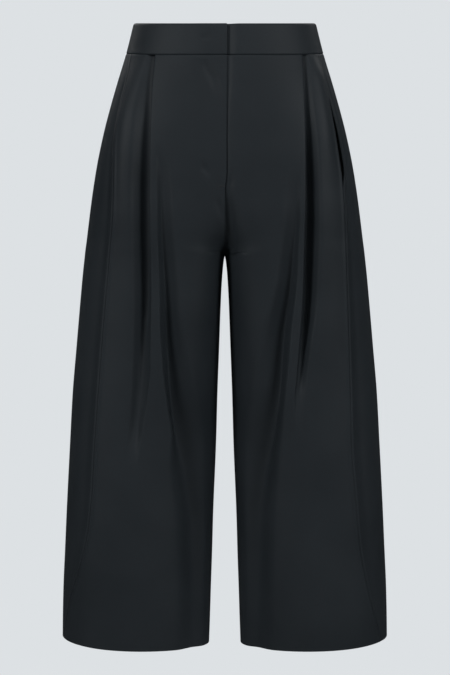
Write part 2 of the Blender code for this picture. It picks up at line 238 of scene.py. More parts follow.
class RowTable:
    """A table of rows by level, read at any level along curves that never overshoot."""

    def __init__(self, kind: type, *rows: tuple[float, ...]) -> None:
        """Keep the rows' columns as arrays.

        Args:
            kind: Dataclass of a row.
            *rows: The fields of each row in order, from the top level down.
        """
        self.kind = kind
        self.values = np.array(rows, float)
        self.depths = -self.values[:, 0]
        self.steps = np.diff(self.depths)
        self.slopes = np.diff(self.values, axis=0) / self.steps[:, None]
        self.ends = np.array([self._end_slope(k) for k in range(len(rows))])

    def _end_slope(self, row: int) -> np.ndarray:
        """Slope of each column at a row, level where a column turns back.

        Args:
            row: Number of the row.

        Returns:
            The slopes.
        """
        if row in (0, len(self.slopes)):
            return self.slopes[min(row, len(self.slopes) - 1)]
        before, after = self.slopes[row - 1], self.slopes[row]
        weight_before = 2 * self.steps[row] + self.steps[row - 1]
        weight_after = self.steps[row] + 2 * self.steps[row - 1]
        same_way = before * after > 0
        safe_before = np.where(same_way, before, 1.0)
        safe_after = np.where(same_way, after, 1.0)
        total = weight_before + weight_after
        mean = total / (weight_before / safe_before + weight_after / safe_after)
        return np.where(same_way, mean, 0.0)

    def at(self, level: float, straight: bool = False) -> Any:
        """Read the table.

        Args:
            level: Height to read it at.
            straight: Whether to read straight lines between rows.

        Returns:
            A row of the table's own kind.
        """
        depth = float(np.clip(-level, self.depths[0], self.depths[-1]))
        row = int(np.clip(np.searchsorted(self.depths, depth) - 1, 0, len(self.steps) - 1))
        step = self.steps[row]
        part = (depth - self.depths[row]) / step
        low, high = self.values[row], self.values[row + 1]
        if straight:
            read = low + (high - low) * part
        else:
            rise = part * part * (3 - 2 * part)
            start = part * (1 - part) ** 2 * self.ends[row] * step
            stop = part * part * (1 - part) * self.ends[row + 1] * step
            read = low + (high - low) * rise + start - stop
        return self.kind(level, *[float(value) for value in read[1:]])


# The tables below follow the photograph where it shows the garment; the back is a guess
SECTIONS = RowTable(
    Section,
    (21.5, 130.3, 0, -130.3, 88, 93, 2.15, 0, 0.1),
    (-22, 141, 4, -141, 97, 99, 2.2, 0, 0.3),
    (-62, 152.7, 14, -152.7, 104, 113, 2.3, 0, 0.55),
    (-97, 162.3, 27, -162, 109, 123, 2.4, 0, 0.6),
    (-131, 170.7, 42, -168, 112, 130, 2.5, 0, 0.6),
    (-182, 181.2, 63, -168, 114, 134, 2.5, 0, 0.45),
    (-222, 187.6, 78, -140, 114, 131, 2.5, 0.1, 0.3),
    (-250, 191.4, 87, -98, 114, 127, 2.5, 0.2, 0.2),
    (-275, 194.6, 93, -54, 113, 122, 2.5, 0.4, 0.1),
    (-295, 197.2, 97, -16, 112, 118, 2.5, 0.8, 0),
    (-303, 198.3, 98.6, -6, 111.6, 116.5, 2.5, 1.1, 0),
    (CROTCH_LEVEL, 199.2, 100, HALF_GAP, 111, 115, 2.5, 1.5, 0),
    (-322, 200.4, 101.4, 2, 110.3, 113.6, 2.5, 1.5, 0),
    (-337, 202, 103, 3.4, 109.5, 112, 2.5, 1.4, 0),
    (-371, 205.1, 106, 5.4, 108, 109, 2.5, 1.2, 0),
    (-440, 211, 111, 8, 106.5, 106, 2.5, 0.6, 0),
    (-508, 216.5, 115, 10.5, 105.5, 103, 2.5, 0, 0.1),
    (-577, 219.9, 118, 12.4, 105, 102, 2.5, -0.4, 0.25),
    (-680, 224.8, 121, 16.6, 105, 100, 2.45, -0.55, 0.45),
    (-740, 227.4, 123, 18.3, 103.5, 99.5, 2.4, -0.55, 0.45),
    (-783, 229.2, 125, 19.8, 101, 99, 2.4, -0.5, 0.4),
    (-834, 230.4, 126, 21.4, 97, 98, 2.35, -0.45, 0.35),
    (HEM_LEVEL, 230.8, 127, 22.4, 94.5, 98, 2.3, -0.4, 0.3),
)

PLEATS = {
    Side.RIGHT: RowTable(
        Pleat,
        (-22, 97.4, 24, 2.9, 3.4, 1, 5, 16),
        (-57, 100.4, 22, 2.9, 3.4, 1, 7, 21),
        (-95, 101.4, 18, 2.9, 3.5, 1, 10, 25),
        (-133, 102, 14, 2.9, 3.8, 1, 14, 27),
        (-180, 102.6, 9, 2.9, 4.4, 1, 17, 28),
        (-222, 102.8, 6, 2.9, 5, 1, 19, 29),
        (-280, 102.4, 4, 2.9, 6, 1, 20, 29),
        (-321, 101.6, 3, 2.9, 6, 1.5, 19.5, 28),
        (-376, 101, 2, 2.2, 4.5, 3, 18, 27),
        (-417, 101.5, 1, 1.5, 3.5, 7, 15.5, 26),
        (-486, 104, 0, 0.8, 2, 10, 10, 25),
        (-554, 111.5, -2, 0.4, 1, 9, 6, 22),
        (-610, 115, -4, 0, 0, 9, 0, 24),
        (HEM_LEVEL, 118, -4, 0, 0, 9, 0, 30),
    ),
    Side.LEFT: RowTable(
        Pleat,
        (-22, 108.9, 22, 2.9, 3.4, 1, 5, 11),
        (-58, 110, 20, 2.9, 3.4, 1, 7, 13),
        (-95, 110.5, 17, 2.9, 3.5, 1, 10, 15),
        (-133, 110.8, 14, 2.9, 3.9, 1, 14, 18),
        (-180, 110.8, 9, 2.9, 4.8, 1.5, 19, 21),
        (-224, 110.6, 6, 2.9, 5.8, 2, 22, 23),
        (-280, 109.6, 4, 2.9, 7, 2, 23, 24),
        (-321, 108.4, 3, 2.9, 6.5, 2, 22, 23),
        (-362, 107.2, 2, 2.6, 5.8, 2, 20.5, 22),
        (-403, 105, 2, 2, 4.6, 2, 18.5, 20),
        (-445, 101.6, 1, 1.5, 3.2, 2.5, 12.5, 17),
        (-486, 98, 0, 0.8, 1.8, 3, 7, 16),
        (-513, 95, -1, 0.3, 0.8, 4, 3, 16),
        (-565, 93, -4, 0, 0, 8, 0, 24),
        (HEM_LEVEL, 108, -4, 0, 0, 8, 0, 24),
    ),
}

TROUGHS = {
    Side.RIGHT: RowTable(
        Trough,
        (-22, 82, 0, 20, 8),
        (-150, 90, 0, 18, 7),
        (-210, 87, 5, 16, 7),
        (-280, 85.5, 9, 18, 8),
        (-349, 82, 13, 21, 9),
        (-417, 79, 18.5, 24, 11),
        (-486, 72, 21, 36, 13),
        (-554, 60, 20, 46, 17),
        (-623, 46, 15, 32, 38),
        (-690, 40, 11.5, 26, 40),
        (-760, 40, 9, 24, 38),
        (HEM_LEVEL, 42, 6, 24, 38),
    ),
    Side.LEFT: RowTable(
        Trough,
        (-22, 90, 0, 20, 8),
        (-190, 98, 0, 18, 7),
        (-257, 97, 6, 18, 8),
        (-308, 93.5, 10.5, 20, 9),
        (-349, 90.5, 14, 22, 10),
        (-417, 81, 19, 30, 12),
        (-486, 73, 21.5, 38, 14),
        (-554, 59, 20, 44, 24),
        (-623, 46, 15.5, 34, 36),
        (-690, 42, 11.5, 26, 40),
        (-760, 42, 9, 24, 38),
        (HEM_LEVEL, 42, 6, 24, 38),
    ),
}

SIDE_SEAMS = {
    Side.RIGHT: RowTable(
        SideSeam,
        (-22, 130.8, 0, 0.5, 14),
        (-51, 134.3, 0.3, 1.2, 16),
        (-95, 143.5, 0.8, 2.2, 20),
        (-155, 150.6, 1.2, 3.2, 26),
        (-208, 152.1, 1.5, 4, 30),
        (-258, 153.6, 1.6, 4.6, 34),
        (-314, 158, 1.8, 5, 38),
        (-403, 165.8, 2.1, 5, 40),
        (-514, 174.3, 2.4, 4.6, 40),
        (-576, 178.5, 2.5, 2.6, 34),
        (-680, 185.7, 2.5, 1.6, 30),
        (-750, 200.4, 2, 1, 26),
        (-801, 215.7, 0.6, 1, 20),
        (HEM_LEVEL, 227, 0, 0, 16),
    ),
    Side.LEFT: RowTable(
        SideSeam,
        (-22, 134.6, 0, 0.5, 14),
        (-58, 138.4, 0.4, 1, 16),
        (-95, 144.9, 1, 1.6, 18),
        (-162, 155.5, 1.6, 2.4, 22),
        (-215, 162.2, 1.6, 3, 26),
        (-258, 165, 1.5, 3.6, 30),
        (-307, 166.8, 1.5, 4.2, 34),
        (-403, 170, 1.5, 4.6, 38),
        (-486, 172, 1.8, 4.6, 40),
        (-576, 174, 2.2, 3.2, 38),
        (-652, 179.5, 2.6, 2.2, 36),
        (-707, 184.4, 2.4, 1.6, 34),
        (-778, 197.5, 0.9, 1.2, 28),
        (HEM_LEVEL, 219, 0, 0, 20),
    ),
}

POCKET_MOUTHS = {
    Side.RIGHT: RowTable(
        PocketMouth,
        (PANEL_TOP, 0, 0),
        (POCKET_TOP, 0, 0),
        (-100, 1.2, 1.2),
        (-160, 1.8, 1.8),
        (POCKET_END, 0, 0),
        (HEM_LEVEL, 0, 0),
    ),
    Side.LEFT: RowTable(
        PocketMouth,
        (PANEL_TOP, 0, 0),
        (POCKET_TOP, 0, 0),
        (-82, 6, 2),
        (-134, 12, 3),
        (-190, 13, 3.5),
        (POCKET_END, 0, 0),
        (HEM_LEVEL, 0, 0),
    ),
}

# The back dart: its place across the back and how deep its seam sinks
BACK_DARTS = RowTable(
    Dart,
    (PANEL_TOP, 68, 0.9),
    (-80, 69, 0.8),
    (-126, 70, 0.35),
    (-140, 70, 0),
    (HEM_LEVEL, 70, 0),
)

FLY_LAPS = RowTable(
    FlyLap,
    (PANEL_TOP, 3, -8),
    (-134, 2.3, -8),
    (-200, 2.3, -8),
    (-213, 1.3, 1.7),
    (FLY_END, -HALF_GAP, HALF_GAP),
    (HEM_LEVEL, -HALF_GAP, HALF_GAP),
)

# Creases: first those in front, from the top down, then the back's
CREASES = {
    Side.RIGHT: (
        # dimples where the hook is sewn on behind the band
        Crease(6, ((29.5, 7, 0), (29, 4, 2.2), (28.8, 1, 0))),
        Crease(5, ((23, 7, 0), (22.8, 4, 1.6), (22.6, 1, 0))),
        # drag line from the band to the fly
        Crease(9, ((46, -30, 0), (27, -36, 2), (14, -56, 2.4), (8, -82, 0))),
        # diagonals beside the fly's end
        Crease(6, ((34, -184, 0), (27, -194, 1.8), (19, -206, 0))),
        Crease(6, ((13, -236, 0), (8, -248, 2), (3, -262, 0.6))),
        Crease(9, ((14, -258, 0), (12, -280, 1), (10, -300, 0))),
        # fullness under the band, outside the pleat, and along the side seam
        Crease(22, ((121, -24, 0), (127, -60, -2), (136, -105, -4.2), (142, -165, -3),
                    (147, -240, 0))),
        Crease(16, ((139, -150, 0), (142, -230, -1.6), (149, -330, 0))),
        # soft folds across the lower leg
        Crease(34, ((196, -600, 0), (170, -640, 1.2), (120, -700, 1), (80, -730, 0))),
        # back: the fall from the seat, its fold beside it, and drag lines from the crotch
        Crease(30, ((124, -190, 0), (116, -270, 6.8), (108, -380, 12.8), (100, -500, 11),
                    (96, -640, 7.6), (99, -780, 4.2), (101, -855, 2.2)), on_back=True),
        Crease(22, ((72, -240, 0), (68, -340, -2.8), (64, -460, -5.1), (66, -620, -4.1),
                    (72, -800, 0)), on_back=True),
        Crease(24, ((164, -330, 0), (168, -440, 5.8), (170, -570, 5.4),
                    (178, -720, 0)), on_back=True),
        Crease(15, ((16, -296, 0.7), (34, -318, 5.1), (60, -346, 5.1), (88, -372, 0)), on_back=True),
        Crease(13, ((14, -262, 0.4), (32, -274, 2.8), (58, -298, 2.5), (82, -326, 0)), on_back=True),
        Crease(12, ((8, -54, 0), (24, -62, 1.5), (46, -66, 0)), on_back=True),
        Crease(36, ((150, -610, 0), (110, -660, 2.5), (60, -700, 2), (40, -715, 0)), on_back=True),
    ),
    Side.LEFT: (
        # line beside the fly's end, and the hollow over the crotch
        Crease(6, ((12, -196, 0), (8, -214, 1.8), (5, -236, 1.8), (5, -256, 0.4))),
        Crease(20, ((1, -222, 0), (4, -252, 2.5), (8, -280, 3), (13, -304, 1))),
        Crease(12, ((3, -236, 0), (5, -262, 2.5), (7, -286, 3.6), (9, -305, 3), (11, -322, 0))),
        # fullness under the band, outside the pleat
        Crease(20, ((126, -24, 0), (129, -48, -5), (135, -92, -5), (141, -150, -3.5),
                    (149, -220, 0))),
        # soft folds down and across the lower leg
        Crease(14, ((112, -300, 0), (96, -400, -1.6), (88, -450, -1.4), (84, -520, 0))),
        Crease(36, ((190, -560, 0), (160, -620, 1.2), (110, -690, 0.9), (80, -730, 0))),
        # back: the fall from the seat, its fold beside it, and drag lines from the crotch
        Crease(32, ((116, -180, 0), (110, -280, 7.6), (106, -400, 13.6), (104, -520, 10.2),
                    (98, -660, 6.8), (94, -790, 3.7), (94, -855, 2)), on_back=True),
        Crease(22, ((66, -250, 0), (62, -350, -4.1), (60, -470, -4.8), (64, -600, -2.8),
                    (68, -760, 0)), on_back=True),
        Crease(24, ((158, -300, 0), (160, -420, 5.1), (166, -540, 5.8),
                    (176, -700, 0)), on_back=True),
        Crease(15, ((15, -300, 0.7), (36, -326, 4.4), (66, -352, 5.4), (92, -386, 0)), on_back=True),
        Crease(13, ((14, -270, 0.4), (30, -284, 3.7), (54, -312, 2), (74, -332, 0)), on_back=True),
        Crease(12, ((10, -46, 0), (26, -56, 1.3), (44, -64, 0)), on_back=True),
        Crease(36, ((140, -640, 0), (100, -680, 2.2), (60, -730, 1.7), (40, -745, 0)), on_back=True),
    ),
}


def smooth_step(value: np.ndarray | float) -> np.ndarray | float:
    """Ease from 0 to 1 with level ends.

    Args:
        value: Any number or array; it is held between 0 and 1.

    Returns:
        The eased value.
    """
    value = np.clip(value, 0.0, 1.0)
    return value * value * (3 - 2 * value)


def spread(first: float, last: float, count: int) -> list[float]:
    """Places evenly between two others, without either of them."""
    return [first + (last - first) * k / (count + 1) for k in range(1, count + 1)]


class HalfLoop:
    """One half of the garment at one level, measured along the cloth."""

    STEPS = 720

    def __init__(self, level: float) -> None:
        """Work out the loop's outline.

        Args:
            level: Its height.
        """
        self.level = level
        self.section: Section = SECTIONS.at(level)
        section = self.section
        turn = np.linspace(-math.pi, math.pi, self.STEPS + 1)
        reach_out, reach_in = section.outer - section.crease, section.crease - section.inner
        reach = np.where(np.cos(turn) > 0, reach_out, reach_in)
        across = section.crease + self._bowed(np.cos(turn), turn) * reach
        depth = np.where(turn < 0, section.front, section.back)
        forward = self._bowed(np.sin(turn), turn) * depth
        self.closed = section.inner < HALF_GAP - TINY
        if self.closed:
            across, forward = self._with_lap(across, forward)
        run = np.hypot(np.diff(across), np.diff(forward))
        along = np.concatenate([[0], np.cumsum(run)])
        self.start = HALF_GAP
        if self.closed:
            half = len(across) // 2
            along -= np.interp(0, across[:half], along[:half])
            self.end = float(np.interp(0, -across[half:], along[half:]))
        else:
            self.end = along[-1] - HALF_GAP
        self.across, self.forward, self.along = across, forward, along
        ticks = along + np.arange(len(along)) * TINY
        slope_across, slope_forward = np.gradient(across, ticks), np.gradient(forward, ticks)
        length = np.hypot(slope_across, slope_forward)
        self.out_across = slope_forward / length
        self.out_forward = -slope_across / length
        self.side = int(np.argmax(across))

    def _bowed(self, value: np.ndarray, turn: np.ndarray) -> np.ndarray:
        """Square a circle's coordinate, more or less so at the inner front and the outer front.

        Args:
            value: Sine or cosine of the turn.
            turn: Angle round the loop, below 0 in front.

        Returns:
            The squared coordinate.
        """
        section = self.section
        front = np.where(np.cos(turn) < 0, section.square, section.full)
        power = section.power + np.where(turn < 0, front, 0.0)
        return np.sign(value) * np.abs(value) ** (2 / power)

    @staticmethod
    def _with_lap(across: np.ndarray, forward: np.ndarray) -> tuple[np.ndarray, np.ndarray]:
        """Cut a loop at the centre and carry both its ends past it, for the laps.

        Args:
            across: Places across, round the loop.
            forward: Places front to back.

        Returns:
            Both again, with the laps.
        """
        kept = across > HALF_GAP
        across = np.concatenate([[HALF_GAP], across[kept], [HALF_GAP]])
        forward = forward[kept]
        forward = np.concatenate([[forward[0]], forward, [forward[-1]]])
        lap = across < BAND_UNDERLAP + 2 * BAND_OVERLAP
        in_front = np.arange(len(across)) < len(across) // 2
        first, last = lap & in_front, lap & ~in_front
        across = np.concatenate([-across[first][::-1], across, -across[last][::-1]])
        forward = np.concatenate([forward[first][::-1], forward, forward[last][::-1]])
        return across, forward

    def place(self, across: float) -> float:
        """How far along the front the loop is this far across."""
        return float(np.interp(across, self.across[: self.side], self.along[: self.side]))

    def back_place(self, across: float) -> float:
        """How far along the loop's back is this far across."""
        back = slice(None, self.side, -1)
        return float(np.interp(across, self.across[back], self.along[back]))

    def points(self, along: np.ndarray, lift: np.ndarray) -> np.ndarray:
        """Points on the cloth.

        Args:
            along: Distances along the loop.
            lift: Lifts off the plain form, below 0 where the cloth sinks.

        Returns:
            An array of X, Y and Z for the wearer's left side.
        """
        x, y = np.interp(along, self.along, self.across), np.interp(along, self.along, self.forward)
        out_x = np.interp(along, self.along, self.out_across)
        out_y = np.interp(along, self.along, self.out_forward)
        height = self.level - self._waist_dip(y) + self._hem_tilt(x)
        return np.stack([x + out_x * lift, y + out_y * lift, height], axis=-1)

    def _waist_dip(self, y: np.ndarray) -> np.ndarray:
        """How far the waistline runs down in front."""
        fade = smooth_step((self.level - DIP_END) / (WAIST_SEAM - DIP_END))
        return FRONT_DIP * fade * (np.hypot(y, DIP_ROUNDING) - y) / 2

    def _hem_tilt(self, x: np.ndarray) -> np.ndarray:
        """How far the hem runs up, most of all at its outer corner.

        Args:
            x: Places across.

        Returns:
            Rises, which fade out up the leg.
        """
        fade = smooth_step((HEM_TILT_START - self.level) / (HEM_TILT_START - HEM_LEVEL))
        middle = (self.section.outer + self.section.inner) / 2
        part = (x - middle) / (self.section.outer - middle)
        sag = np.where(part > 0, HEM_SAG_OUTER, HEM_SAG_INNER)
        corner = HEM_CORNER_RISE * np.clip(part, 0, 1) ** 4
        return fade * (HEM_RISE + HEM_TILT * part + sag * part * part + corner)


@lru_cache(maxsize=None)
def loop_at(level: float) -> HalfLoop:
    """The half loop at a level, made once."""
    return HalfLoop(level)


def round_turns(row: np.ndarray) -> np.ndarray:
    """Cut a row's corners twice so that its folds are round, keeping both ends.

    Args:
        row: Places as distances along and lifts.

    Returns:
        The finer row.
    """
    for _ in range(2):
        near, far = row[:-1] * 0.75 + row[1:] * 0.25, row[:-1] * 0.25 + row[1:] * 0.75
        cut = np.stack([near, far], axis=1).reshape(-1, row.shape[1])
        row = np.concatenate([row[:1], cut[1:-1], row[-1:]])
    return row


def levels_between(top: float, bottom: float, step: float, extra: Iterable[float] = ()) -> list[float]:
    """Levels from an upper edge to a lower one, close together at both edges.

    Args:
        top: Upper level.
        bottom: Lower level.
        step: Largest distance between levels.
        extra: More levels to include.

    Returns:
        The levels from the top down.
    """
    count = max(2, round((top - bottom) / step))
    places = set(np.round(np.linspace(top, bottom, count + 1), 3)) | set(extra)
    for gap in EDGE_ROWS:
        places |= {top - gap, bottom + gap}
    return sorted(places, reverse=True)


def to_linear(colour: str) -> tuple[float, float, float, float]:
    """Turn an sRGB hex colour into a linear one.

    Args:
        colour: Such as "#26292C".

    Returns:
        Red, green, blue and full alpha.
    """
    parts = [int(colour[k : k + 2], 16) / 255 for k in (1, 3, 5)]
    linear = [p / 12.92 if p <= 0.04045 else ((p + 0.055) / 1.055) ** 2.4 for p in parts]
    return (*linear, 1.0)


def fill(tree: bpy.types.NodeTree, node: Any, inputs: dict[str | int, Any]) -> None:
    """Set or link a node's inputs.

    Args:
        tree: Tree that holds the node.
        node: Node to fill.
        inputs: Values or output sockets by input name or index.
    """
    for name, value in inputs.items():
        if isinstance(value, bpy.types.NodeSocket):
            tree.links.new(value, node.inputs[name])
        else:
            node.inputs[name].default_value = value


def add_node(tree: bpy.types.NodeTree, kind: str, inputs: dict[str | int, Any] | None = None,
             **settings: Any) -> Any:
    """Add a node with its settings, values and links.

    Args:
        tree: Tree to add it to.
        kind: Node type.
        inputs: Values or output sockets by input name or index.
        **settings: Properties of the node.

    Returns:
        The node.
    """
    node = tree.nodes.new(kind)
    for name, value in settings.items():
        setattr(node, name, value)
    fill(tree, node, inputs or {})
    return node


def new_material(name: str) -> tuple[bpy.types.Material, bpy.types.NodeTree, Any]:
    """Start a material.

    Args:
        name: Its name.

    Returns:
        The material, its node tree and its shader.
    """
    made = bpy.data.materials.new(name)
    made.use_nodes = True
    return made, made.node_tree, made.node_tree.nodes["Principled BSDF"]


@dataclass(frozen=True)
class WovenFinish:
    """A woven cloth: its colours, its twill line and yarn, and how it takes light."""

    name: str
    colour: str
    light_colour: str
    twill_mm: float
    slub_mm: float
    roughness: float
    specular: float
    sheen: float
    bump: float

    # Yarns run on for more than their width, dye patches are 110 mm wide, and handling leaves
    # ripples 33 mm wide and under 1 mm high
    YARN_STRETCH = 0.22
    PATCHES_A_METRE = 9.0
    RIPPLES_A_METRE = 30.0
    RIPPLE_MM = 0.8
    WEAVE_MM = 0.2

    def material(self) -> bpy.types.Material:
        """Build the material on the cloth's own UV map, which is in metres of cloth.

        Returns:
            The material.
        """
        made, tree, shader = new_material(self.name)
        cloth = add_node(tree, "ShaderNodeUVMap", uv_map="cloth").outputs["UV"]
        place = add_node(tree, "ShaderNodeTexCoord").outputs["Object"]
        slant = math.tau / (self.twill_mm * MM) * math.sqrt(0.5)
        run = add_node(tree, "ShaderNodeVectorMath", {0: cloth, 1: (slant, slant, 0.0)},
                       operation="DOT_PRODUCT").outputs["Value"]
        twill = add_node(tree, "ShaderNodeMath", {0: run}, operation="SINE").outputs[0]
        stretched = add_node(tree, "ShaderNodeMapping",
                             {"Vector": cloth, "Scale": (1.0, self.YARN_STRETCH, 1.0)}).outputs[0]
        slub = add_node(tree, "ShaderNodeTexNoise", {
            "Vector": stretched, "Scale": 1 / (self.slub_mm * MM), "Detail": 2.0}).outputs[0]
        patches = add_node(tree, "ShaderNodeTexNoise", {
            "Vector": place, "Scale": self.PATCHES_A_METRE, "Detail": 3.0}).outputs[0]
        ripples = add_node(tree, "ShaderNodeTexNoise", {
            "Vector": place, "Scale": self.RIPPLES_A_METRE, "Detail": 2.0}).outputs[0]
        shade = add_node(tree, "ShaderNodeMath", {0: slub, 1: 0.5, 2: patches},
                         operation="MULTIPLY_ADD").outputs[0]
        ramp = add_node(tree, "ShaderNodeMapRange",
                        {"Value": shade, "From Min": 0.5, "From Max": 1.0}).outputs[0]
        colour = add_node(tree, "ShaderNodeMix", {
            0: ramp, 6: to_linear(self.colour), 7: to_linear(self.light_colour)},
            data_type="RGBA").outputs[2]
        weave = add_node(tree, "ShaderNodeMath", {0: twill, 1: 0.35, 2: slub},
                         operation="MULTIPLY_ADD").outputs[0]
        soft = add_node(tree, "ShaderNodeBump", {
            "Height": ripples, "Strength": 0.5, "Distance": self.RIPPLE_MM * MM}).outputs[0]
        bump = add_node(tree, "ShaderNodeBump", {
            "Height": weave, "Strength": self.bump, "Distance": self.WEAVE_MM * MM,
            "Normal": soft}).outputs[0]
        fill(tree, shader, {
            "Base Color": colour, "Normal": bump, "Roughness": self.roughness,
            "Specular IOR Level": self.specular, "Sheen Weight": self.sheen, "Sheen Roughness": 0.5})
        return made


@dataclass(frozen=True)
class SpunFinish:
    """Spun thread or zip coil: its colours, its twist and how it takes light."""

    name: str
    colour: str
    light_colour: str
    twist_mm: float
    roughness: float

    def material(self) -> bpy.types.Material:
        """Build the thread's material on Object coordinates.

        Returns:
            The material.
        """
        made, tree, shader = new_material(self.name)
        place = add_node(tree, "ShaderNodeTexCoord").outputs["Object"]
        ply = add_node(tree, "ShaderNodeTexNoise", {
            "Vector": place, "Scale": 1 / (self.twist_mm * MM), "Detail": 1.0}).outputs[0]
        colour = add_node(tree, "ShaderNodeMix", {
            0: ply, 6: to_linear(self.colour), 7: to_linear(self.light_colour)},
            data_type="RGBA").outputs[2]
        bump = add_node(tree, "ShaderNodeBump", {
            "Height": ply, "Strength": 0.4, "Distance": 0.1 * MM}).outputs[0]
        fill(tree, shader, {"Base Color": colour, "Normal": bump, "Roughness": self.roughness})
        return made


@dataclass(frozen=True)
class PlatedFinish:
    """Plated sheet metal: its colour, its polishing lines and its wear."""

    name: str
    colour: str
    worn_colour: str
    line_mm: float
    roughness: float

    def material(self) -> bpy.types.Material:
        """Build the metal's material on Object coordinates.

        Returns:
            The material.
        """
        made, tree, shader = new_material(self.name)
        place = add_node(tree, "ShaderNodeTexCoord").outputs["Object"]
        drawn = add_node(tree, "ShaderNodeMapping", {
            "Vector": place, "Scale": (0.05, 0.05, 1.0)}).outputs[0]
        lines = add_node(tree, "ShaderNodeTexNoise", {
            "Vector": drawn, "Scale": 1 / (self.line_mm * MM), "Detail": 2.0}).outputs[0]
        cloud = add_node(tree, "ShaderNodeTexNoise", {"Vector": place, "Scale": 160.0}).outputs[0]
        colour = add_node(tree, "ShaderNodeMix", {
            0: cloud, 6: to_linear(self.colour), 7: to_linear(self.worn_colour)},
            data_type="RGBA").outputs[2]
        rough = add_node(tree, "ShaderNodeMapRange", {
            "Value": lines, "To Min": self.roughness * 0.8, "To Max": self.roughness * 1.3}).outputs[0]
        fill(tree, shader, {"Base Color": colour, "Roughness": rough, "Metallic": 1.0})
        return made


Finish = WovenFinish | SpunFinish | PlatedFinish

# Heavy matt suiting: piece-dyed near black, with a dull, slightly rippled face.  Its real twill
# line is about 0.5 mm, drawn at 1.1 mm so that it shows close up
SUITING = WovenFinish("suiting_twill_charcoal", "#24292D", "#2B3034", 1.1, 0.9, 0.52, 0.12, 0.0, 0.3)
# Pocketing: thinner, flatter twill of the same dye, drawn as coarse for the same reason
POCKETING = WovenFinish("pocketing_twill_black", "#131516", "#181A1C", 0.9, 0.8, 0.75, 0.25, 0.03, 0.3)
# Zip tape: woven polyester, black, with a slight shine
ZIP_TAPE = WovenFinish("zip_tape_woven_polyester", "#101112", "#17191B", 0.8, 0.6, 0.55, 0.3, 0.02, 0.4)
# Zip coil: moulded nylon filament, smoother and shinier than the tape
ZIP_COIL = SpunFinish("zip_coil_nylon_black", "#0E0F10", "#1B1D1F", 0.6, 0.35)
# Sewing thread: spun polyester, dyed to the suiting; its twist is about 0.3 mm
THREAD = SpunFinish("sewing_thread_polyester_charcoal", "#1C2023", "#2B3035", 0.3, 0.7)
# Hook and bar: pressed steel, bright nickel plate, with fine polishing lines
NICKEL = PlatedFinish("pressed_steel_nickel_plated", "#C4C1BC", "#9C9995", 0.25, 0.3)


@lru_cache(maxsize=None)
def material_of(finish: Finish) -> bpy.types.Material:
    """The material of a finish, made once."""
    return finish.material()


def add_object(name: str, data: Any) -> bpy.types.Object:
    """Put a new object in the scene.

    Args:
        name: Its name.
        data: Its mesh, light or camera.

    Returns:
        The object.
    """
    made = bpy.data.objects.new(name, data)
    bpy.context.scene.collection.objects.link(made)
    return made


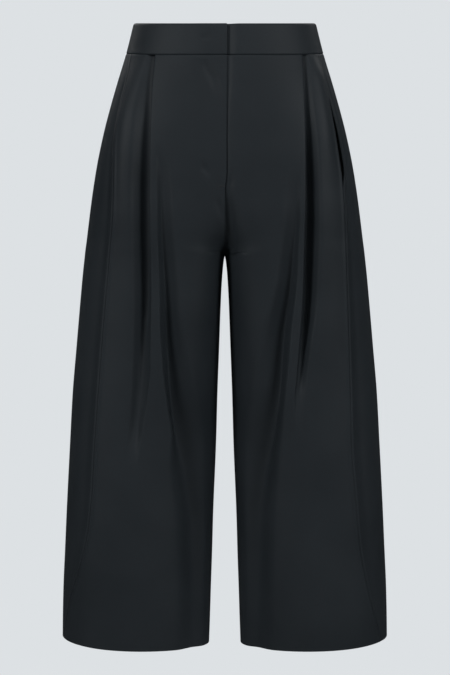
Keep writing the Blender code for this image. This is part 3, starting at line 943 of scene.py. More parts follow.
@dataclass
class Cloth:
    """A piece of cloth: its rows over the loops, its wall, creases, rolled edges and cut.

    Levels run from the top down, and the cut's flat size and area are in metres.  A roll is how
    far that edge of the piece turns in, easing out over roll_reach.
    """

    name: str
    side: Side
    levels: Sequence[float]
    rests_on: tuple[str, ...] = ()
    wall: float = CLOTH_WALL
    finish: Finish = SUITING
    slot: str = "suiting"
    flat: tuple[float, float] | None = None
    area: float | None = None
    creased: bool = True
    roll_top: float = 0.0
    roll_bottom: float = 0.0
    roll_start: float = 0.0
    roll_end: float = 0.0
    roll_reach: float = 2.6
    outside: np.ndarray = field(init=False, repr=False)
    inside: np.ndarray = field(init=False, repr=False)

    def row(self, loop: HalfLoop) -> list[tuple[float, float]]:
        """Places of one row as distances along and lifts; each kind of piece has its own."""
        raise NotImplementedError

    def nearest_row(self, level: float) -> int:
        """Number of the row nearest to a level."""
        return int(np.argmin(np.abs(np.array(self.levels) - level)))

    def layers(self, level: float) -> float:
        """How many layers thick the cloth is at a level."""
        return 1.0

    def soft_lift(self, loop: HalfLoop, along: np.ndarray) -> np.ndarray:
        """Lift that a kind of piece gives its rows once their turns are round."""
        return np.zeros_like(along)

    def relief(self, base: np.ndarray) -> np.ndarray:
        """Work out the creases.

        Args:
            base: Points of the plain form, for the wearer's left side.

        Returns:
            Lift that the creases give each point, below 0 where the cloth sinks.
        """
        lift = np.zeros(base.shape[:2])
        folds = CREASES[self.side] if self.creased else ()
        for fold in folds:
            lift -= crease_depth(fold, base)
        return lift

    def rolls(self, along: np.ndarray) -> np.ndarray:
        """Work out how the cloth turns in at its seam edges.

        Args:
            along: Distances along the loops, by row and column.

        Returns:
            How far each point turns in.
        """
        heights = np.array(self.levels)[:, None]
        parts = (
            (self.roll_top, heights[0] - heights),
            (self.roll_bottom, heights - heights[-1]),
            (self.roll_start, along - along[:, :1]),
            (self.roll_end, along[:, -1:] - along),
        )
        total = np.zeros_like(along)
        for amount, distance in parts:
            total += amount * (1 - np.clip(distance / self.roll_reach, 0, 1)) ** 2
        return total

    def build(self) -> bpy.types.Object:
        """Make the piece's mesh, with its wall and its UV map in metres of cloth.

        Returns:
            The finished piece.
        """
        loops = [loop_at(level) for level in self.levels]
        grid = np.array([round_turns(np.array(self.row(loop), float)) for loop in loops])
        grid[:, :, 1] += [self.soft_lift(loop, g[:, 0]) for loop, g in zip(loops, grid)]
        plain = np.array([loop.points(g[:, 0], 0 * g[:, 1]) for loop, g in zip(loops, grid)])
        grid[:, :, 1] += self.relief(plain) - self.rolls(grid[:, :, 0])
        self.outside = np.array([loop.points(*g.T) for loop, g in zip(loops, grid)])
        layers = np.array([self.layers(level) for level in self.levels])[:, None]
        inner_grid = step_in(grid, sloped_wall(self.outside, self.wall) * layers)
        self.inside = np.array([loop.points(*g.T) for loop, g in zip(loops, inner_grid)])
        heights = np.array(self.levels)[:, None] + 0 * grid[:, :, 0]
        return shell(self, np.stack([grid[:, :, 0], heights], axis=-1))

    def dress(self, piece: bpy.types.Object) -> None:
        """Hang the piece on the root and hide the solid that it replaces.

        Args:
            piece: The piece's object.
        """
        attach(piece, "root")
        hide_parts(self.name)


def under_centre(loop: HalfLoop) -> float:
    """How fully the left half's centre edge runs on under the right half's, down to the crotch."""
    return float(smooth_step((loop.level - UNDERLAP_END) / UNDERLAP_FADE)) if loop.closed else 0.0


def crease_depth(fold: Crease, base: np.ndarray) -> np.ndarray:
    """Depth of one crease at each point of the plain form.

    Args:
        fold: The crease.
        base: Points of the plain form, for the wearer's left side.

    Returns:
        Depths, above 0 where the cloth sinks.
    """
    stops = []
    for across, level, _ in fold.path:
        loop = loop_at(level)
        place = loop.back_place if fold.on_back else loop.place
        stops.append(loop.points(np.array(place(across)), np.array(0.0)))
    nearest = np.full(base.shape[:2], np.inf)
    depth = np.zeros(base.shape[:2])
    for start, stop, (*_, first), (*_, last) in zip(stops, stops[1:], fold.path, fold.path[1:]):
        run = stop - start
        part = np.clip(((base - start) @ run) / (run @ run), 0, 1)
        gap = np.linalg.norm(base - start - part[..., None] * run, axis=-1)
        closer = gap < nearest
        nearest = np.where(closer, gap, nearest)
        depth = np.where(closer, first + (last - first) * part, depth)
    near = np.clip(1 - (nearest / fold.reach) ** 2, 0, 1)
    return depth * near * near


def sloped_wall(outside: np.ndarray, wall: float) -> np.ndarray:
    """Measure the wall level, wider where the cloth leans, so that it stays as thick.

    Args:
        outside: Points of the outer skin, by row and column.
        wall: Thickness of the cloth.

    Returns:
        Wall at each point.
    """
    normal = np.cross(np.gradient(outside, axis=0), np.gradient(outside, axis=1))
    length = np.linalg.norm(normal, axis=2)
    level_part = np.hypot(normal[:, :, 0], normal[:, :, 1])
    return wall * np.minimum(length / np.maximum(level_part, TINY), STEEPEST_WALL)


def step_in(grid: np.ndarray, walls: np.ndarray) -> np.ndarray:
    """The inner skin's places: each outer place stepped in by its wall, mitred where it turns.

    Args:
        grid: Places of the outer skin, by row and column.
        walls: Wall at each place.

    Returns:
        Places of the inner skin.
    """
    run = np.diff(grid, axis=1)
    run /= np.maximum(np.linalg.norm(run, axis=2, keepdims=True), TINY)
    outward = np.stack([-run[:, :, 1], run[:, :, 0]], axis=-1)
    before, after = outward[:, :-1], outward[:, 1:]
    spread_out = np.maximum(1 + np.sum(before * after, axis=2, keepdims=True), SHARPEST_MITRE)
    inner = grid.copy()
    inner[:, 1:-1] -= (before + after) / spread_out * walls[:, 1:-1, None]
    inner[:, 0, 1] -= walls[:, 0]
    inner[:, -1, 1] -= walls[:, -1]
    return inner


def shell(cut: Cloth, cloth_uv: np.ndarray) -> bpy.types.Object:
    """Join a piece's outer and inner skins into one closed mesh with round top and bottom rims.

    Args:
        cut: The piece, with both its skins worked out.
        cloth_uv: Place of each point on its cut, in millimetres.

    Returns:
        The piece.
    """
    outside, inside = cut.outside, cut.inside
    rows, columns = outside.shape[:2]
    total = 2 * rows * columns
    outer, inner = np.arange(total).reshape(2, rows, columns)
    points = [outside.reshape(-1, 3), inside.reshape(-1, 3)]
    spots = [cloth_uv.reshape(-1, 2)] * 2
    faces: list[tuple[int, ...]] = []

    def skin(a: np.ndarray, b: np.ndarray) -> None:
        """Add faces between two lines of points."""
        faces.extend(zip(a[:-1], b[:-1], b[1:], a[1:]))

    for k in range(rows - 1):
        skin(outer[k], outer[k + 1])
        skin(inner[k + 1], inner[k])
    for edge, beyond in ((0, 1), (rows - 1, rows - 2)):
        away = outside[edge] - outside[beyond]
        away /= np.linalg.norm(away, axis=1, keepdims=True)
        middle, half = (outside[edge] + inside[edge]) / 2, (outside[edge] - inside[edge]) / 2
        size = np.linalg.norm(half, axis=1, keepdims=True)
        lines = [outer[edge]]
        for angle in (math.pi / 4, math.pi / 2, math.pi * 3 / 4):
            points.append(middle + half * math.cos(angle) + away * size * math.sin(angle) * RIM_FULLNESS)
            spots.append(cloth_uv[edge])
            lines.append(np.arange(total, total + columns))
            total += columns
        lines.append(inner[edge])
        for a, b in zip(lines, lines[1:]):
            skin(b, a) if edge == 0 else skin(a, b)
        caps = [tuple(line[0] for line in lines), tuple(line[-1] for line in lines)][:: 1 if edge else -1]
        faces.extend([caps[0], caps[1][::-1]])
    skin(outer[:, 0], inner[:, 0])
    skin(inner[:, -1], outer[:, -1])
    return cloth_object(cut, np.concatenate(points), np.concatenate(spots), faces)


def cloth_object(cut: Cloth, points: np.ndarray, spots: np.ndarray,
                 faces: list[tuple[int, ...]]) -> bpy.types.Object:
    """Make a piece's object on its own side, in metres.

    Args:
        cut: The piece.
        points: Its points, for the wearer's left side.
        spots: Place of each point on its cut.
        faces: Numbers of the points round each face.

    Returns:
        The piece.
    """
    if cut.side is Side.RIGHT:
        faces = [face[::-1] for face in faces]
    mesh = bpy.data.meshes.new(cut.name)
    vertices = points * (MM * cut.side.sign, MM, MM)
    mesh.from_pydata(vertices.tolist(), [], [[int(v) for v in face] for face in faces])
    layer = mesh.uv_layers.new(name="cloth")
    corners = np.empty(len(mesh.loops), int)
    mesh.loops.foreach_get("vertex_index", corners)
    layer.data.foreach_set("uv", (spots[corners] * MM).ravel())
    mesh.shade_smooth()
    mesh.set_sharp_from_angle(angle=SHARP_ANGLE)
    mesh.materials.append(material_of(cut.finish))
    return add_object(cut.name + "_cloth", mesh)


@dataclass
class LegPanel(Cloth):
    """A front or back leg, its hem turned up inside."""

    roll_top: float = 0.35

    def layers(self, level: float) -> float:
        """How many layers thick the cloth is: two in the turned-up hem."""
        return 2.0 if level < HEM_TOP else 1.0


@dataclass
class FrontPanel(LegPanel):
    """A front leg, with its fly edge, knife pleat and soft trough."""

    flat: tuple[float, float] | None = (0.36, 0.86)
    area: float | None = 0.235
    roll_end: float = 0.5

    # The trough's wall beyond the pleat, as shares of the way up it and of the trough's depth
    TROUGH_WALL = ((0.42, 0.8), (0.64, 0.42), (0.85, 0.1))

    def row(self, loop: HalfLoop) -> list[tuple[float, float]]:
        """Places from the fly or inseam to the side seam.

        Args:
            loop: The half loop at the row's level.

        Returns:
            Distances along the loop, and lifts.
        """
        pleat: Pleat = PLEATS[self.side].at(loop.level)
        trough: Trough = TROUGHS[self.side].at(loop.level)
        seam: SideSeam = SIDE_SEAMS[self.side].at(loop.level)
        edge, middle = loop.place(pleat.edge), loop.place(trough.across)
        last = loop.place(seam.across) - HALF_GAP
        row = self._fly_places(loop)
        trough_start = middle - trough.reach_in
        row += [(place, 0) for place in spread(row[-1][0], trough_start, 6) + [trough_start]]
        row += [(middle - trough.reach_in * part, 0) for part in (0.75, 0.5, 0.25, 0)]
        row += [(middle + trough.reach_out * part, 0) for part in (0.3, 0.6, 0.9, 1.2)]
        open_by = max(0.0, -pleat.turn)
        turn_end = edge - pleat.turn
        foot, rise = edge + pleat.trough_at, edge + pleat.rise_at
        run = pleat.rise_at - pleat.trough_at
        row += [
            (edge, 0),
            (edge + open_by / 2, -pleat.drop),
            (turn_end, -(pleat.drop + (pleat.root - pleat.drop) * open_by / PLEAT_OPENING)),
            (turn_end + open_by * 0.3, -pleat.root),
            (foot - 1, -max(pleat.root, pleat.trough * 0.9)),
            (foot + run * 0.2, -max(pleat.root, pleat.trough)),
        ]
        row += [(foot + run * way, -pleat.trough * share) for way, share in self.TROUGH_WALL]
        row += [(place, 0) for place in [rise] + spread(rise, last - 5, 5)]
        row += [(last - 5, seam.ridge * 0.1), (last - 2.4, seam.ridge * 0.9)]
        return row + [(last - 1, seam.ridge), (last, seam.ridge)]

    def _fly_places(self, loop: HalfLoop) -> list[tuple[float, float]]:
        """Places near the fly edge, or near the inseam below it.

        Args:
            loop: The half loop at the row's level.

        Returns:
            Distances along the loop, and lifts.
        """
        lap: FlyLap = FLY_LAPS.at(loop.level, straight=True)
        fly_top = lap.right_edge + FLY_RISE
        edge = max(lap.right_edge, 0.0)
        if self.side is Side.LEFT:
            under = under_centre(loop)
            wide = smooth_step((loop.level - FLY_HOLLOW_END) / FLY_HOLLOW_FADE)
            first = min(lap.left_start, -ALLOWANCE) * under + loop.start * (1 - under)
            return [
                (first, -ALLOWANCE_SINK * under),
                (edge + 0.4 + 3 * wide, -ALLOWANCE_SINK * under),
                (edge + 1.8 + 3.8 * wide, -1.6 * under),
                (edge + 4.5 + 3.8 * wide, -0.7 * under),
                (fly_top + 4 * wide, 0),
            ]
        first = -edge if loop.closed else loop.start
        return [(place, 0) for place in (first, first + 0.8, first + 2, first + 5, fly_top)]

    def soft_lift(self, loop: HalfLoop, along: np.ndarray) -> np.ndarray:
        """Sink the soft trough between the pleat and the inner leg.

        Args:
            loop: The half loop at the row's level.
            along: Distances along it.

        Returns:
            Lifts, below 0 in the trough.
        """
        trough: Trough = TROUGHS[self.side].at(loop.level)
        distance = along - loop.place(trough.across)
        reach = np.where(distance < 0, trough.reach_in, trough.reach_out)
        return -trough.depth * (1 - smooth_step(np.abs(distance) / reach))


@dataclass
class BackPanel(LegPanel):
    """A back leg, from the side seam round to the centre back or the inseam."""

    flat: tuple[float, float] | None = (0.46, 0.86)
    area: float | None = 0.33
    roll_start: float = 0.4
    roll_end: float = 0.4

    def row(self, loop: HalfLoop) -> list[tuple[float, float]]:
        """Places from the side seam to the centre back or the inseam.

        Args:
            loop: The half loop at the row's level.

        Returns:
            Distances along the loop, and lifts.
        """
        seam: SideSeam = SIDE_SEAMS[self.side].at(loop.level)
        mouth: PocketMouth = POCKET_MOUTHS[self.side].at(loop.level)
        dart: Dart = BACK_DARTS.at(loop.level)
        first = loop.place(seam.across) + HALF_GAP + mouth.gape
        edge_lift = seam.ridge - mouth.sink
        ridge_end = first + SEAM_FLAT
        flat = first + seam.reach + SEAM_FLAT
        fold = loop.back_place(dart.across)
        row = [
            (first, edge_lift),
            (first + 1, edge_lift),
            (ridge_end, edge_lift),
            (ridge_end + seam.reach * 0.12, edge_lift * 0.5 - seam.hollow * 0.5),
            (ridge_end + seam.reach * 0.35, -seam.hollow - mouth.sink * 0.3),
            (first + seam.reach * 0.7, -seam.hollow * 0.45),
            (flat, 0),
        ]
        row += [(place, 0) for place in spread(flat, fold - 7, 13)]
        row += [(fold - 7, 0), (fold - 2.2, -dart.sink * 0.1), (fold - 0.8, -dart.sink * 0.5)]
        row += [(fold, -dart.sink), (fold + 0.8, -dart.sink), (fold + 1.6, 0), (fold + 5, 0)]
        row += [(place, 0) for place in spread(fold + 5, loop.end - 5, 9)]
        if self.side is Side.RIGHT:
            return row + [(loop.end - back, 0) for back in (5, 2, 0.8, 0)]
        under = under_centre(loop)
        row += [(loop.end - 5, 0), (loop.end - 1.8, -0.9 * under)]
        row += [(loop.end - 0.4, -ALLOWANCE_SINK * under)]
        return row + [(loop.end + ALLOWANCE * under, -ALLOWANCE_SINK * under)]


@dataclass
class Waistband(Cloth):
    """Half of the waistband; the right half laps over the left at the front."""

    wall: float = BAND_WALL
    flat: tuple[float, float] | None = (0.39, 0.045)
    area: float | None = 0.0165
    roll_bottom: float = 1.3
    roll_top: float = 0.7
    roll_reach: float = 2.2

    # The hollow beside the lap, as places along the left half and shares of its sink
    LAP_HOLLOW = ((-4, 1), (0, 1), (4.5, 0.97), (7.5, 0.86), (10.5, 0.58), (14.5, 0.25), (19, 0.06), (24, 0))

    def row(self, loop: HalfLoop) -> list[tuple[float, float]]:
        """Places from the lap to the centre back.

        Args:
            loop: The half loop at the row's level.

        Returns:
            Distances along the loop, and lifts.
        """
        if self.side is Side.RIGHT:
            row = [(-BAND_OVERLAP, LAP_LIFT), (-BAND_OVERLAP + 0.7, LAP_EDGE_LIFT)]
            row += [(-BAND_OVERLAP + 2, LAP_EDGE_LIFT)] + [(place, LAP_LIFT) for place in (10, 22, 34)]
        else:
            row = [(-BAND_UNDERLAP + 9 * k, -LAP_SINK) for k in range(4)]
            row += [(place, -LAP_SINK * share) for place, share in self.LAP_HOLLOW]
        row += [(place, 0) for place in spread(row[-1][0], loop.end - 3, 24)]
        if self.side is Side.RIGHT:
            return row + [(loop.end - 3, 0), (loop.end - 1, 0), (loop.end, 0)]
        row += [(loop.end - 3, -0.3), (loop.end - 0.6, -LAP_SINK * 0.8)]
        return row + [(loop.end + ALLOWANCE, -LAP_SINK * 0.8)]


@dataclass
class PocketFacing(Cloth):
    """The strip behind a pocket mouth."""

    wall: float = FACING_WALL
    finish: Finish = POCKETING
    slot: str = "pocketing"
    flat: tuple[float, float] | None = (0.045, 0.192)
    area: float | None = 0.0075
    creased: bool = False

    def row(self, loop: HalfLoop) -> list[tuple[float, float]]:
        """Places under both edges of the mouth.

        Args:
            loop: The half loop at the row's level.

        Returns:
            Distances along the loop, and lifts.
        """
        seam: SideSeam = SIDE_SEAMS[self.side].at(loop.level)
        mouth: PocketMouth = POCKET_MOUTHS[self.side].at(loop.level)
        front_edge = loop.place(seam.across)
        back_edge = front_edge + mouth.gape
        under_front = CLOTH_WALL + FACING_CLEARANCE
        under_back = seam.hollow + CLOTH_WALL + FACING_CLEARANCE + mouth.sink * 0.9
        row = [(front_edge - 20, -under_front), (front_edge - 8, -under_front)]
        row += [(front_edge, -under_front + seam.ridge * 0.5)]
        return row + [(back_edge + beyond, -under_back) for beyond in (0, 7, 14)]


@dataclass
class ClosureStrip(Cloth):
    """A small strip that follows the cloth: the zip's tape, the hook's plate or the bar's."""

    creased: bool = False
    across: tuple[float, float] = (0.0, 1.0)
    lift: float = 0.0
    rib: float = 0.0

    def row(self, loop: HalfLoop) -> list[tuple[float, float]]:
        """Places across the strip, with its pressed rib or the coil's groove in the middle.

        Args:
            loop: The half loop at the row's level; not used.

        Returns:
            Distances along the loop, and lifts.
        """
        first, last = self.across
        middle, part = (first + last) / 2, (last - first) / 12
        places = [
            (first, 0),
            (first + part, 0),
            (middle - 2 * part, 0),
            (middle - part, self.rib),
            (middle + part, self.rib),
            (middle + 2 * part, 0),
            (last - part, 0),
            (last, 0),
        ]
        return [(place, self.lift - sink) for place, sink in places]


@lru_cache(maxsize=None)
def repeat_tree() -> bpy.types.NodeTree:
    """Build the node tree that sets a round bar at even steps along a path, turned to its "aim".

    Returns:
        The tree, made once.
    """
    tree = bpy.data.node_groups.new("bars_along_path", "GeometryNodeTree")
    tree.interface.new_socket("Geometry", in_out="INPUT", socket_type="NodeSocketGeometry")
    for name in ("Pitch", "Length", "Radius"):
        tree.interface.new_socket(name, in_out="INPUT", socket_type="NodeSocketFloat")
    tree.interface.new_socket("Finish", in_out="INPUT", socket_type="NodeSocketMaterial")
    tree.interface.new_socket("Geometry", in_out="OUTPUT", socket_type="NodeSocketGeometry")
    given = add_node(tree, "NodeGroupInput").outputs
    path = add_node(tree, "GeometryNodeMeshToCurve", {"Mesh": given["Geometry"]}).outputs[0]
    steps = add_node(tree, "GeometryNodeResampleCurve", {"Curve": path, "Length": given["Pitch"]},
                     mode="LENGTH").outputs[0]
    aim = add_node(tree, "GeometryNodeInputNamedAttribute", {"Name": "aim"},
                   data_type="FLOAT_VECTOR").outputs[0]
    turn = add_node(tree, "FunctionNodeAlignRotationToVector", {"Vector": aim}, axis="Z").outputs[0]
    bar = add_node(tree, "GeometryNodeMeshCylinder", {
        "Vertices": BAR_SIDES, "Radius": given["Radius"], "Depth": given["Length"]}).outputs["Mesh"]
    bars = add_node(tree, "GeometryNodeInstanceOnPoints", {
        "Points": steps, "Instance": bar, "Rotation": turn}).outputs[0]
    real = add_node(tree, "GeometryNodeRealizeInstances", {"Geometry": bars}).outputs[0]
    dyed = add_node(tree, "GeometryNodeSetMaterial", {
        "Geometry": real, "Material": given["Finish"]}).outputs[0]
    add_node(tree, "NodeGroupOutput", {"Geometry": dyed})
    return tree


@dataclass(frozen=True)
class Bars:
    """Stitches or zip teeth in a row: pitch, length and thickness, along or across their path."""

    pitch: float
    length: float
    radius: float
    across: bool = False
    finish: Finish = THREAD
    slot: str = "suiting"

    def build(self, name: str, path: np.ndarray, side: Side) -> bpy.types.Object:
        """Set the row along a path.

        Args:
            name: Name of the row.
            path: Points in millimetres, for the wearer's left side.
            side: Side the row is on.

        Returns:
            The row as one mesh, riding the garment.
        """
        path = path * (MM * side.sign, MM, MM)
        aim = np.gradient(path, axis=0)
        if self.across:
            aim = np.cross(aim, path * (1, 1, 0))
        mesh = bpy.data.meshes.new(name + "_path")
        mesh.from_pydata(path.tolist(), [(k, k + 1) for k in range(len(path) - 1)], [])
        mesh.attributes.new("aim", "FLOAT_VECTOR", "POINT").data.foreach_set("vector", aim.ravel())
        line = add_object(name + "_path", mesh)
        modifier = line.modifiers.new("bars", "NODES")
        modifier.node_group = repeat_tree()
        values = {
            "Pitch": self.pitch * MM,
            "Length": self.length * MM,
            "Radius": self.radius * MM,
            "Finish": material_of(self.finish),
        }
        for item in modifier.node_group.interface.items_tree:
            if item.in_out == "INPUT" and item.name in values:
                modifier[item.identifier] = values[item.name]
        seen = line.evaluated_get(bpy.context.evaluated_depsgraph_get())
        row = add_object(name, bpy.data.meshes.new_from_object(seen))
        bpy.data.objects.remove(line)
        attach(row, "root")
        return row


class Sewing:
    """The visible sewing and the zip's coil, set on the finished pieces of cloth."""

    HEM = Bars(6.0, 2.6, 0.2)
    BAND = Bars(3.0, 2.3, 0.18)
    TAPE = Bars(2.8, 2.1, 0.18)
    BARTACK = Bars(0.4, 1.8, 0.16, across=True)
    COIL = Bars(1.25, 4.4, 0.5, across=True, finish=ZIP_COIL, slot="zip_tape")
    PROUD = 0.1
    HEM_INSET = 1.5
    BAND_INSET = 2.5
    BARTACK_START = 0.4
    BARTACK_POINTS = 12
    TAPE_COLUMNS = {"outer": 3, "inner": -4}

    def __init__(self, cuts: Sequence[Cloth]) -> None:
        """Keep the pieces by name."""
        self.cuts = {cut.name: cut for cut in cuts}

    def build(self) -> list[bpy.types.Object]:
        """Sew the hems, the band's inside, the fly's bartack and the zip.

        Returns:
            The rows of stitches and teeth.
        """
        made = []
        for side in Side:
            for half in ("front", "back"):
                path = self._inner_line(f"{half}_{side.value}", HEM_TOP - self.HEM_INSET)
                made.append(self.HEM.build(f"hem_stitches_{half}_{side.value}", path, side))
            path = self._inner_line(f"waistband_{side.value}", WAIST_SEAM + self.BAND_INSET)
            made.append(self.BAND.build(f"band_stitches_{side.value}", path, side))
        made.append(self._bartack())
        return made + self._zip()

    def _inner_line(self, name: str, level: float) -> np.ndarray:
        """Follow the inside of a piece, a little proud of it.

        Args:
            name: Name of the piece.
            level: Level to follow.

        Returns:
            Points of the line.
        """
        cut = self.cuts[name]
        row = cut.nearest_row(level)
        inward = cut.inside[row] - cut.outside[row]
        inward /= np.linalg.norm(inward, axis=1, keepdims=True)
        return (cut.inside[row] + inward * self.PROUD)[3:-3]

    def _bartack(self) -> bpy.types.Object:
        """Sew the short dense bar across the end of the fly.

        Returns:
            The bar.
        """
        cut = self.cuts["front_right"]
        line = cut.outside[cut.nearest_row(BARTACK_LEVEL)]
        near = line[(line[:, 0] > -1.0) & (line[:, 0] < BARTACK_LENGTH)]
        places = np.linspace(self.BARTACK_START, BARTACK_LENGTH, self.BARTACK_POINTS)
        path = np.stack([np.interp(places, near[:, 0], near[:, k]) for k in range(3)], axis=-1)
        path[:, 1] -= self.PROUD
        return self.BARTACK.build("fly_bartack", path, Side.RIGHT)

    def _zip(self) -> list[bpy.types.Object]:
        """Set the zip's coil and the stitches that hold its tape.

        Returns:
            The coil and two rows of stitches.
        """
        inside = self.cuts["fly_zip"].inside[1:-1]
        inward = np.array([0.0, 1.0, 0.0])
        coil = inside[:, inside.shape[1] // 2] + inward * (self.COIL.radius * 0.7)
        made = [self.COIL.build("fly_zip_coil", coil, Side.LEFT)]
        for name, column in self.TAPE_COLUMNS.items():
            line = inside[:, column] + inward * self.PROUD
            made.append(self.TAPE.build(f"fly_zip_stitches_{name}", line, Side.LEFT))
        return made


@dataclass(frozen=True)
class BentSheet:
    """A stage sheet seen from the side, in metres: level from its start, then bent upright."""

    start: float
    far: float
    floor: float
    top: float
    curve: float

    BEND_STEPS = 12

    def profile(self) -> list[tuple[float, float]]:
        """Draw the sheet's line.

        Returns:
            Distances out and heights, from the start to the top.
        """
        turns = [math.pi / 2 * k / self.BEND_STEPS for k in range(1, self.BEND_STEPS + 1)]
        bend = [(self.far - self.curve * (1 - math.sin(turn)),
                 self.floor + self.curve * (1 - math.cos(turn))) for turn in turns]
        return [(self.start, self.floor), (self.far - self.curve, self.floor), *bend, (self.far, self.top)]


@dataclass(frozen=True)
class Lamp:
    """A soft box: its place and size in metres and its power in watts."""

    name: str
    place: tuple[float, float, float]
    size: tuple[float, float]
    power: float

    # Every lamp points at the middle of the legs
    AIM = (0.0, 0.0, -0.6)

    def build(self) -> None:
        """Hang the lamp."""
        data = bpy.data.lights.new(self.name, "AREA")
        data.shape = "RECTANGLE"
        data.size, data.size_y = self.size
        data.energy = self.power
        lamp = add_object(self.name, data)
        lamp.location = self.place
        across, away, drop = np.array(self.AIM) - np.array(self.place)
        tilt = math.atan2(math.hypot(across, away), -drop)
        lamp.rotation_euler = (tilt, 0, math.atan2(away, across) - math.pi / 2)


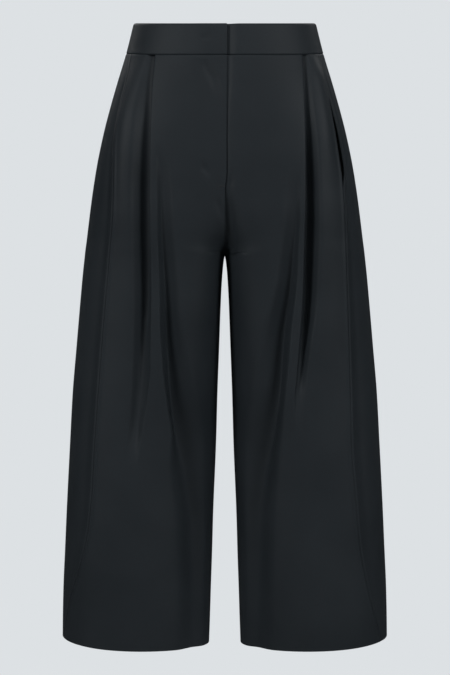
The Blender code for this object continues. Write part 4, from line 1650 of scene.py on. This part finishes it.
class Studio:
    """The camera, lights and pale paper that the garment is shown on."""

    SURROUND = BentSheet(start=0.0, far=9.0, floor=-2.0, top=9.0, curve=2.0)
    SURROUND_TURNS = 64
    REFLECTOR = BentSheet(start=-6.0, far=3.2, floor=-1.15, top=4.0, curve=1.2)
    REFLECTOR_HALF = 2.2
    GLOW_FROM = 0.5
    GLOW_FULL = 1.25
    PAPER = "#DDE1E4"
    CARD = "#C2C2C2"
    BLACK = "#000000"
    LAMPS = (
        Lamp("top", (0.0, -3.2, 5.5), (1.8, 1.8), 52.0),
        Lamp("side_right", (-4.2, -3.9, 2.8), (1.8, 2.6), 172.0),
        Lamp("side_left", (4.2, -3.9, 2.8), (1.8, 2.6), 172.0),
        Lamp("back_right", (-1.9, 2.7, 2.2), (1.2, 1.8), 24.0),
        Lamp("back_left", (1.9, 2.7, 2.4), (1.2, 1.8), 19.0),
    )
    WORLD = "#ECECEC"
    WORLD_STRENGTH = 0.04

    def build(self) -> None:
        """Make the camera, the paper, the lights and the dim world."""
        self._camera()
        self._surround()
        self._reflector()
        for lamp in self.LAMPS:
            lamp.build()
        self._world()
        bpy.context.scene.view_settings.view_transform = "Standard"

    @staticmethod
    def _camera() -> None:
        """A long lens, level with the middle of the garment."""
        lens = bpy.data.cameras.new("camera")
        lens.sensor_width = SENSOR_MM
        lens.lens = SENSOR_MM * CAMERA_DISTANCE / (FRAME_HEIGHT_PX * MM_PER_PIXEL)
        camera = add_object("camera", lens)
        camera.location = (CAMERA_SHIFT * MM, -CAMERA_DISTANCE * MM, CAMERA_LEVEL * MM)
        camera.rotation_euler = (math.pi / 2, 0, 0)
        bpy.context.scene.camera = camera

    def _surround(self) -> None:
        """The pale floor and wall all round, which the camera sees and which give no light."""
        profile = self.SURROUND.profile()
        count, turns = len(profile), self.SURROUND_TURNS
        points = []
        faces = []
        for k in range(turns):
            turn = math.tau * k / turns
            points += [(out * math.cos(turn), out * math.sin(turn), height) for out, height in profile]
            here, there = k * count, (k + 1) % turns * count
            faces += [(here + j, there + j, there + j + 1, here + j + 1) for j in range(count - 1)]
        # Backdrop paper: pale seamless paper, evenly lit, which carries no shadow
        paper = self._paper("backdrop_paper_pale")[0]
        surround = self._staged("surround", points, faces, paper)
        surround.visible_diffuse = surround.visible_glossy = surround.visible_shadow = False

    def _reflector(self) -> None:
        """A card under and behind the garment that lights it softly and shows in no picture or gloss."""
        profile = self.REFLECTOR.profile()
        points = [(x, y, z) for y, z in profile for x in (-self.REFLECTOR_HALF, self.REFLECTOR_HALF)]
        faces = [(2 * k, 2 * k + 1, 2 * k + 3, 2 * k + 2) for k in range(len(profile) - 1)]
        # Reflector card: matt white card, which glows behind the garment and only reflects in front
        card, tree, shader = self._paper("reflector_card_white")
        place = add_node(tree, "ShaderNodeTexCoord").outputs["Object"]
        depth = add_node(tree, "ShaderNodeSeparateXYZ", {0: place}).outputs["Y"]
        glow = add_node(tree, "ShaderNodeMapRange", {
            "Value": depth, "From Min": self.GLOW_FROM, "From Max": self.GLOW_FULL},
            interpolation_type="SMOOTHSTEP").outputs[0]
        own = add_node(tree, "ShaderNodeMix", {
            0: glow, 6: to_linear(self.CARD), 7: to_linear(self.BLACK)}, data_type="RGBA").outputs[2]
        fill(tree, shader, {"Base Color": own, "Emission Strength": glow})
        reflector = self._staged("reflector", points, faces, card)
        reflector.visible_camera = reflector.visible_glossy = False

    @staticmethod
    def _staged(name: str, points: list[tuple[float, float, float]], faces: list[tuple[int, ...]],
                paper: bpy.types.Material) -> bpy.types.Object:
        """Make a smooth stage object of one material.

        Args:
            name: Its name.
            points: Its points, in metres.
            faces: Numbers of the points round each face.
            paper: Its material.

        Returns:
            The object.
        """
        mesh = bpy.data.meshes.new(name)
        mesh.from_pydata(points, [], faces)
        mesh.shade_smooth()
        mesh.materials.append(paper)
        made = add_object(name, mesh)
        return made

    def _paper(self, name: str) -> tuple[bpy.types.Material, bpy.types.NodeTree, Any]:
        """Start a matt paper that glows evenly in its own colour and reflects nothing.

        Args:
            name: Name of the material.

        Returns:
            The material, its node tree and its shader.
        """
        made, tree, shader = new_material(name)
        fill(tree, shader, {
            "Base Color": to_linear(self.BLACK), "Emission Color": to_linear(self.PAPER),
            "Emission Strength": 1.0, "Specular IOR Level": 0.0, "Roughness": 1.0})
        return made, tree, shader

    def _world(self) -> None:
        """A dim grey daylight from all round."""
        world = bpy.data.worlds.new("soft_daylight")
        world.use_nodes = True
        fill(world.node_tree, world.node_tree.nodes["Background"], {
            "Color": to_linear(self.WORLD), "Strength": self.WORLD_STRENGTH})
        bpy.context.scene.world = world


def garment_pieces() -> list[Cloth]:
    """List every piece of cloth.

    Returns:
        The pieces, in the order that a maker cuts them.
    """
    band_levels = levels_between(TOP, WAIST_SEAM, 3.5)
    panel_levels = levels_between(PANEL_TOP, HEM_LEVEL, 6.0, PANEL_LEVELS)
    mouth_levels = levels_between(POCKET_TOP + 4, POCKET_END - 6, 8.0)
    zip_levels = levels_between(PANEL_TOP - 2, FLY_END + 6, 8.0)
    made: list[Cloth] = []
    for side in Side:
        band, front = f"waistband_{side.value}", f"front_{side.value}"
        made += [
            Waistband(band, side, band_levels),
            FrontPanel(front, side, panel_levels, (band,)),
            BackPanel(f"back_{side.value}", side, panel_levels, (band,)),
            PocketFacing(f"pocket_facing_{side.value}", side, mouth_levels, (front,)),
        ]
    return made + [
        ClosureStrip("fly_zip", Side.LEFT, zip_levels, ("front_left",), FACING_WALL, ZIP_TAPE,
                     "zip_tape", (0.026, 0.193), 0.005, across=(-15, 11), lift=-3.6, rib=0.2),
        ClosureStrip("waist_hook", Side.LEFT, HOOK_LEVELS, (), 0.6, NICKEL, "nickel",
                     across=(-21, -9), lift=-2.2, rib=0.1),
        ClosureStrip("waist_bar", Side.LEFT, BAR_LEVELS, (), 0.5, NICKEL, "nickel",
                     across=(-22, -8), lift=-3.2, rib=0.1),
    ]


def main() -> None:
    """Build the garment and its studio, and report each piece."""
    logging.basicConfig(level=logging.INFO, format="%(message)s")
    cuts = garment_pieces()
    for cut in cuts:
        piece = cut.build()
        cut.dress(piece)
        LOG.info("%s: %d faces", piece.name, len(piece.data.polygons))
    for row in Sewing(cuts).build():
        LOG.info("%s: %d faces", row.name, len(row.data.polygons))
    Studio().build()


if __name__ == "__main__":
    main()
